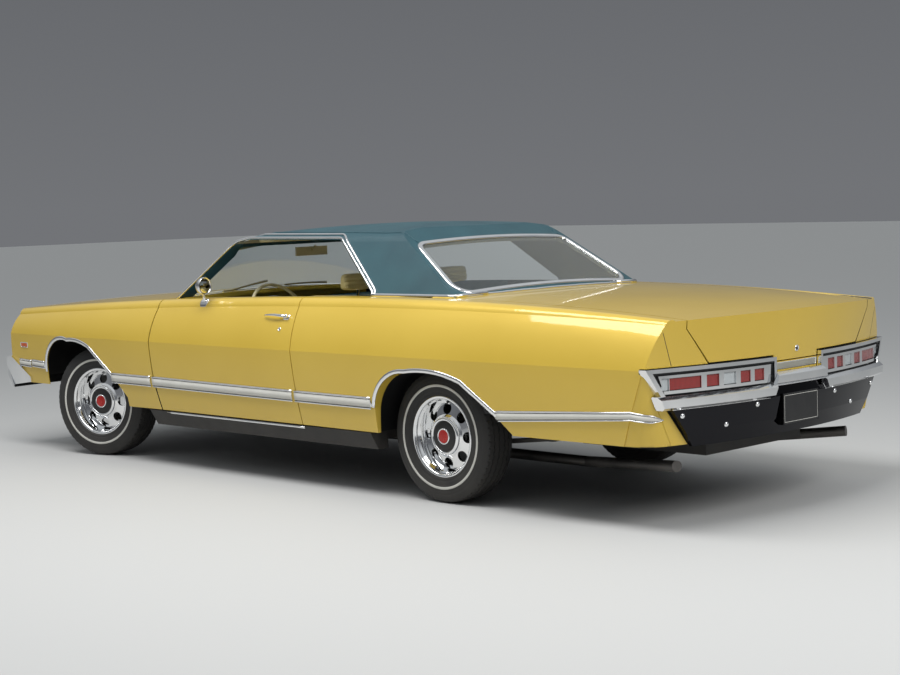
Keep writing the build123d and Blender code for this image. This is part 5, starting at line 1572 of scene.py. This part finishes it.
for name, z in (("card_strip_high", 0.806), ("card_strip_low", 0.514)):
    line = [(Vector((FRONT_AXLE + x, inner_y + CARD_RISE, z)), inward)
            for x, _ in along([(0.96, z), (1.97, z)], 0.05)]
    pair(name, swept(name, line, CARD_STRIP), DOORS, chrome)
ARM_REST = [(1.34, 0.640), (1.34, 0.672), (1.42, 0.690), (1.90, 0.690), (1.93, 0.660), (1.86, 0.630)]
rest = prism_block(ARM_REST, inner_y + 0.006, inner_y + 0.074, 0.0)
for face in rest.polygons:
    face.use_smooth = True
pair("arm_rest", rest, DOORS, card_vinyl)
CRANK = [Vector((FRONT_AXLE + 1.23, inner_y + 0.036, 0.600)),
         Vector((FRONT_AXLE + 1.30, inner_y + 0.040, 0.540))]
crank_line = [(Vector(p), inward) for p in along(CRANK, 0.01)]
pair("window_crank", swept("window_crank", crank_line, OVAL), DOORS, chrome)
CRANK_KNOB = [(0.0, -0.030), (0.014, -0.028), (0.014, 0.006), (0.010, 0.012), (0.0, 0.013)]
for name, place, finish in (("crank_hub", CRANK[0], chrome), ("crank_knob", CRANK[1], matt_black)):
    mesh = turned_mesh(name, CRANK_KNOB, 24)
    mesh.transform(Matrix.Translation(place) @ Matrix.Rotation(math.pi, 4, "Z"))
    pair(name, mesh, DOORS, finish)
print("door panels on both doors, inner wall at", round(inner_y, 3))

# %% [markdown]
# ## Dash
# The dash carries four dials, a radio panel, a glovebox lid and their knobs. Dials and knobs are turned,
# the panels are plates, and rays from the seats set them on the dash.

# %% Dash
dash_skin = skin("dashboard")


def fitting_on_dash(name, profile, y, z, *finishes, bands=None):
    """A turned fitting, square to the dash at (y, z), facing the seats."""
    place, slope, _, _ = dash_skin.ray_cast(Vector((FRONT_AXLE + 1.25, y, z)), Vector((-1, 0, 0)))
    mesh = turned_mesh(name, profile, 40, bands)
    turn = Vector((0, -1, 0)).rotation_difference(slope if slope.x > 0 else -slope).to_matrix().to_4x4()
    mesh.transform(Matrix.Translation(place) @ turn)
    return piece(name, mesh, "body", *finishes)


def on_dash(mesh, y, z):
    """The plate's points dropped on to the dash round (y, z)."""
    for v in mesh.vertices:
        u, w, out = v.co
        place = dash_skin.ray_cast(Vector((FRONT_AXLE + 1.25, y + u, z + w)), Vector((-1, 0, 0)))[0]
        v.co = (place.x + out, y + u, z + w)


DIAL = [(0.0, 0.002), (0.050, 0.002), (0.052, 0.012), (0.056, 0.014), (0.060, 0.010), (0.061, -0.004),
        (0.0, -0.004)]
DIAL_BANDS, DIAL_Z, RADIO_Z = [1, 0, 0, 0, 0, 0, 0], 0.835, 0.825
for i, (y, size) in enumerate(((-0.56, 0.72), (-0.43, 1.0), (-0.30, 1.0), (-0.17, 0.72))):
    dial = [(r * size, a) for r, a in DIAL]
    fitting_on_dash(f"dash_dial_{i}", dial, y, DIAL_Z, chrome, matt_black, bands=DIAL_BANDS)
FASCIA = [(0, -0.002), (0, 0.003), (0.002, 0.006), (0.006, 0.006), (0.007, 0.004), (0.012, 0.004)]
for name, y, w, h, field in (("radio_panel", 0.02, 0.105, 0.042, matt_black),
                             ("glovebox_lid", 0.44, 0.235, 0.058, card_vinyl)):
    mesh = plate_mesh(name, w, h, 0.008, FASCIA, [0, 0, 0, 0, 1])
    on_dash(mesh, y, RADIO_Z)
    piece(name, mesh, "body", chrome, field)
DASH_KNOB = [(0.0, 0.0), (0.012, 0.0), (0.012, 0.022), (0.009, 0.026), (0.0, 0.027)]
for name, y in (("radio_knob_left", -0.055), ("radio_knob_right", 0.095), ("glovebox_knob", 0.44)):
    fitting_on_dash(name, DASH_KNOB, y, RADIO_Z, chrome)
print("dash fittings done")

# %% [markdown]
# ## Steering wheel
# A horn cap and a bright horn ring are turned about the leaning steering column, and ride the wheel so that
# they turn with it.

# %% Steering wheel dress
COLUMN = math.radians(28)
column_way = Vector((math.cos(COLUMN), 0, math.sin(COLUMN)))
hub = Matrix.Translation((FRONT_AXLE + 1.270, -0.38, 0.900)) @ (
    Vector((0, -1, 0)).rotation_difference(column_way).to_matrix().to_4x4())
for name, profile, finish in (
    ("horn_cap", [(0.0, -0.006), (0.046, -0.006), (0.047, 0.004), (0.038, 0.014), (0.020, 0.019), (0.0, 0.020)],
     card_vinyl),
    ("horn_ring", [(0.1185, -0.010), (0.1215, -0.0115), (0.1245, -0.010), (0.1260, -0.006), (0.1245, -0.002),
                   (0.1215, -0.0005), (0.1185, -0.002), (0.1170, -0.006)], chrome),
):
    mesh = turned_mesh(name, profile, 64)
    mesh.transform(hub)
    piece(name, mesh, "steering_wheel", finish)
print("steering wheel dressed")

# %% [markdown]
# ## Visors, mats and shelf
# Sun visors lie against the roof lining, mats on the floor and a covered shelf behind the rear seat. All
# are plates whose points are dropped by rays, up to the lining or down to the floor.

# %% Visors, mats and shelf
cream_trim = grained("cream_trim", (0.72, 0.64, 0.40), (0.80, 0.72, 0.46), 0.5, 380.0, 0.0006)
carpet = grained("carpet", (0.020, 0.055, 0.070), (0.034, 0.080, 0.098), 0.85, 700.0, 0.004)
headliner = skin("roof_panel")
PAD = [(0, 0.0), (-0.002, 0.006), (0.0, 0.011), (0.006, 0.0145), (0.02, 0.016)]
VISOR_X, VISOR_Y = 1.345, 0.34
for side, y in (("left", -VISOR_Y), ("right", VISOR_Y)):
    mesh = plate_mesh("sun_visor_" + side, 0.060, 0.205, 0.030, PAD, [0, 0, 0, 0])
    for v in mesh.vertices:
        u, w, out = v.co
        place = headliner.ray_cast(Vector((FRONT_AXLE + VISOR_X + u, y + w, 0.9)), Vector((0, 0, 1)))[0]
        v.co = (FRONT_AXLE + VISOR_X + u, y + w, place.z - 0.003 - out)
    mesh.flip_normals()
    piece("sun_visor_" + side, mesh, "body", cream_trim)
floor_skin = skin("underbody")
MAT = [(0, -0.002), (0, 0.006), (0.004, 0.010), (0.02, 0.010), (0.022, 0.007), (0.05, 0.007)]
MATS = [
    # name, x from the front axle, y, half length, half width
    ("mat_front_left", 1.13, -0.47, 0.21, 0.27), ("mat_front_right", 1.13, 0.47, 0.21, 0.27),
    ("mat_rear_left", 2.27, -0.45, 0.17, 0.25), ("mat_rear_right", 2.27, 0.45, 0.17, 0.25),
]
for name, x, y, half_w, half_h in MATS:
    mesh = plate_mesh(name, half_w, half_h, 0.04, MAT, [0, 0, 0, 0, 0])
    for v in mesh.vertices:
        u, w, out = v.co
        place = floor_skin.ray_cast(Vector((FRONT_AXLE + x + u, y + w, 0.6)), down)[0]
        v.co = (FRONT_AXLE + x + u, y + w, place.z + out)
    piece(name, mesh, "body", carpet)
deck_skin = skin("rear_deck")
SHELF, SHELF_X, SHELF_Z = [(0, -0.002), (0, 0.004), (0.004, 0.007), (0.02, 0.007)], FRONT_AXLE + 3.035, 1.05
shelf = plate_mesh("parcel_shelf", 0.045, 0.52, 0.02, SHELF, [0, 0, 0])
for v in shelf.vertices:
    u, w, out = v.co
    place = deck_skin.ray_cast(Vector((SHELF_X + u, w, 1.4)), down)[0]
    v.co = (SHELF_X + u, w, (place.z if place else SHELF_Z) + out)
piece("parcel_shelf", shelf, "body", card_vinyl)
for name, finish in (("cabin_mirror", cream_trim), ("steering_wheel", cream_trim), ("dashboard", card_vinyl)):
    dress(name, finish)
print("cabin done")

# %% [markdown]
# ## Grille
# The grille is one solid of bright bars on a dark plate. Two solids would take two finishes; with one, a
# mask does it: what lies deeper than a set distance behind the bowed nose is dark.

# %% Grille
grille_finish, tree, shader = material("grille_bright")
NOSE_X, NOSE_BOW = -2.7605, 7.200
BAR_DEPTH = 0.026
x, y, _ = object_axes(tree)
bowed_x = calc(tree, "MULTIPLY_ADD", calc(tree, "MULTIPLY", y, y), 1 / (2 * NOSE_BOW), NOSE_X + BAR_DEPTH)
deep = calc(tree, "GREATER_THAN", x, bowed_x)
grille_haze = place_group(tree, cloud, Scale=6.0)
bars = colour_mix(tree, grille_haze.outputs["Value"], CHROME_LOW, CHROME_HIGH)
tree.links.new(layer(tree, deep, bars, (0.012, 0.012, 0.013)), shader.inputs["Base Color"])
tree.links.new(value_range(tree, grille_haze.outputs["Value"], 0.05, 0.12), shader.inputs["Roughness"])
shader.inputs["Metallic"].default_value = 1.0
dress("grille", grille_finish)
print("grille dressed")

# %% [markdown]
# ## Fender fronts
# Above the grille each fender ends in a painted face that follows the bow of the nose. It is a row of thin
# upright rings; a ray finds the fender's top over each of them.

# %% Fender fronts
nose_skin = skin("fender_left")
CAP_LOW, CAP_BACK, CAP_THICK = 0.772, 0.024, 0.008
columns = []
for i in range(40):
    y = -0.7795 - 0.190 * i / 39
    x = NOSE_X + y * y / (2 * NOSE_BOW) + CAP_BACK
    hit = nose_skin.ray_cast(Vector((x + 0.004, y, 0.70)), Vector((0, 0, 1)))[0]
    if hit and hit.z > CAP_LOW + 0.004:
        columns.append((x, y, hit.z + 0.003))
rings = []
for x, y, top in columns:
    back = x + CAP_THICK
    rings.append(((x, y, CAP_LOW), (x, y, top), (back, y, top), (back, y, CAP_LOW)))
cap_mesh = ring_loft("fender_front", rings)
pair("fender_front", cap_mesh, FIXED, body_paint)
print("fender fronts", len(columns), "columns, from", round(columns[0][1], 3), "to", round(columns[-1][1], 3))

# %% [markdown]
# ## Head lamp glasses
# Four round head lamps have domed glasses with upright flutes. The dome is a turned section; the flutes are
# a wave in its colour and relief, over a half-metal base that stands for the reflector behind.

# %% Head lamp glasses
lamp_skin = skin("head_lamps")
lamp_glass, tree, shader = material("lamp_glass")
prism = tree.nodes.new("ShaderNodeTexWave")
prism.bands_direction = "Y"
prism.inputs["Scale"].default_value = 22.0
prism_pos = tree.nodes.new("ShaderNodeTexCoord")
tree.links.new(prism_pos.outputs["Object"], prism.inputs["Vector"])
fluted = colour_mix(tree, prism.outputs["Fac"], (0.50, 0.53, 0.55), (0.72, 0.75, 0.76))
tree.links.new(fluted, shader.inputs["Base Color"])
shader.inputs["Metallic"].default_value = 0.6
shader.inputs["Roughness"].default_value = 0.12
shader.inputs["Coat Weight"].default_value = 1.0
bump(tree, shader, prism.outputs["Fac"], 0.35, 0.003)
GLASS_DOME = [(0.0, 0.000), (0.071, 0.000), (0.071, 0.004), (0.060, 0.010), (0.040, 0.0155), (0.020, 0.0180),
              (0.0, 0.0190)]
LAMP_Z = 0.682
FORWARD = Matrix.Rotation(math.radians(-90), 4, "Z")
for i, y in enumerate((-0.800, -0.625, 0.625, 0.800)):
    place = lamp_skin.ray_cast(Vector((-4, y, LAMP_Z)), Vector((1, 0, 0)))[0]
    mesh = turned_mesh(f"head_lamp_glass_{i}", GLASS_DOME, 48)
    mesh.transform(Matrix.Translation((place.x - 0.001, y, LAMP_Z)) @ FORWARD)
    piece(f"head_lamp_glass_{i}", mesh, "body", lamp_glass)
    print("head lamp at", [round(c, 3) for c in place])

# %% [markdown]
# ## Wipers
# Two wipers lie at the foot of the windshield, each an arm and a blade on a turned pivot. Rays from above
# keep both a little over the cowl and the glass along their whole length.

# %% Wipers
cowl_skin = skin("cowl", "window_glass")
PIVOT = [(0.0, -0.004), (0.016, -0.004), (0.015, 0.010), (0.008, 0.016), (0.0, 0.017)]
ARM = [(-0.004, -0.002), (-0.004, 0.002), (0.004, 0.002), (0.004, -0.002)]
BLADE = [(-0.003, -0.006), (-0.004, 0.004), (0.004, 0.004), (0.003, -0.006)]
PIVOT_X, ARM_LIFT, BLADE_LIFT, BLADE_START = FRONT_AXLE + 0.690, 0.016, 0.006, 0.25
skyward = Vector((0, 0, 1))
for name, y0, y1 in (("left", -0.52, -0.06), ("right", -0.02, 0.44)):
    pivot = cowl_skin.ray_cast(Vector((PIVOT_X, y0, 2.0)), down)[0]
    mesh = turned_mesh("wiper_pivot_" + name, PIVOT, 24)
    mesh.transform(Matrix.Translation(pivot) @ Matrix.Rotation(math.radians(-90), 4, "X"))
    piece("wiper_pivot_" + name, mesh, "body", matt_black)
    arm, blade = [], []
    for t in (i / 24 for i in range(25)):
        y = y0 + (y1 - y0) * t
        base = cowl_skin.ray_cast(Vector((PIVOT_X + 0.002 + 0.075 * t, y, 2.0)), down)[0]
        arm.append((base + skyward * ARM_LIFT, skyward))
        if t > BLADE_START:
            over = cowl_skin.ray_cast(Vector((PIVOT_X + 0.025 + 0.055 * t, y, 2.0)), down)[0]
            blade.append((over + skyward * BLADE_LIFT, skyward))
    piece("wiper_arm_" + name, swept("wiper_arm_" + name, arm, ARM), "body", steel)
    piece("wiper_blade_" + name, swept("wiper_blade_" + name, blade, BLADE), "body", matt_black)
print("wipers done")

# %% [markdown]
# ## Wheel wells, boot sides and rear rails
# Black steel sheets close the body round the wheels: a shield above each front wheel, and at the back a
# strip that follows the wheelhouse and runs on as the floor at the side of the boot. A frame rail hangs
# inside each rear wheel. Flat planes with a thickness would do for most of it, but the panels outside are
# curved, so each sheet is a row of thin rings, and a ray finds the panel that each ring has to reach.

# %% Wheel wells
SHEET_IN_PANEL, SHEET_OPEN_Y = 0.016, 0.930


def panel_edge(tree, x, z):
    """How far out on the left a sheet may go at this place: into the panel, or to the lip of an open arch."""
    place = tree.ray_cast(Vector((x, -1.3, z)), inward)[0]
    return -place.y - SHEET_IN_PANEL if place and place.y < -SHEET_OPEN_Y else SHEET_OPEN_Y


def thin_strip(name, tops, bottoms, inner_y, outer_ys):
    """A left-hand strip between two side-view lines, from inner_y out to a width at each of their points."""
    rings = []
    for (x1, z1), (x2, z2), outer_y in zip(tops, bottoms, outer_ys):
        rings.append(((x1, -inner_y, z1), (x1, -outer_y, z1), (x2, -outer_y, z2), (x2, -inner_y, z2)))
    return ring_loft(name, rings)


SHIELD_Z, SHIELD_INNER, SHIELD_FROM, SHIELD_LENGTH = (0.796, 0.802), 0.440, -2.575, 1.275
fender_skin, quarter_skin = skin("fender_left"), skin("quarter_left")
shield_x = [SHIELD_FROM + SHIELD_LENGTH * i / 30 for i in range(31)]
shield = thin_strip("wheel_shield", [(x, SHIELD_Z[1]) for x in shield_x], [(x, SHIELD_Z[0]) for x in shield_x],
                    SHIELD_INNER, [panel_edge(fender_skin, x, SHIELD_Z[0]) for x in shield_x])
pair("wheel_shield", shield, FIXED, underseal)

HOUSE_RADII, HOUSE_INNER, HOUSE_START = (0.424, 0.411), 0.765, math.radians(95)
BOOT_SIDE_Z, BOOT_SIDE_FROM, BOOT_SIDE_LENGTH = (0.508, 0.497), REAR_AXLE + 0.45, 0.80
tops, bottoms = [], []
for radius, side_z, line in zip(HOUSE_RADII, BOOT_SIDE_Z, (tops, bottoms)):
    last = math.asin((side_z - AXLE_Z) / radius)
    for i in range(25):
        angle = HOUSE_START + (last - HOUSE_START) * i / 24
        line.append((REAR_AXLE + radius * math.cos(angle), AXLE_Z + radius * math.sin(angle)))
    line += [(BOOT_SIDE_FROM + BOOT_SIDE_LENGTH * i / 24, side_z) for i in range(25)]
edges = [panel_edge(quarter_skin, x, z) for x, z in tops]
pair("boot_side", thin_strip("boot_side", tops, bottoms, HOUSE_INNER, edges), FIXED, underseal)

WALL_Y, WALL_TOP = (0.918, 0.926), 0.700
wall_x = [REAR_AXLE + 0.26 + 0.40 * i / 20 for i in range(21)]
house_z = [AXLE_Z + math.sqrt(max(0, HOUSE_RADII[0] ** 2 - (x - REAR_AXLE) ** 2)) for x in wall_x]
wall = thin_strip("boot_side_wall", [(x, WALL_TOP) for x in wall_x],
                  [(x, max(BOOT_SIDE_Z[1], z)) for x, z in zip(wall_x, house_z)], WALL_Y[0], [WALL_Y[1]] * 21)
pair("boot_side_wall", wall, FIXED, underseal)

RAIL_Y, RAIL_Z = (0.612, 0.640), (0.397, 0.492)
rail_x = (REAR_AXLE - 0.40, REAR_AXLE + 1.20)
rail = thin_strip("rear_rail", [(x, RAIL_Z[1]) for x in rail_x], [(x, RAIL_Z[0]) for x in rail_x], RAIL_Y[0],
                  [RAIL_Y[1]] * 2)
pair("rear_rail", rail, FIXED, underseal)
print("wheel shields, boot sides to", round(tops[-1][0], 3), "and rails; widest", round(max(edges), 3))
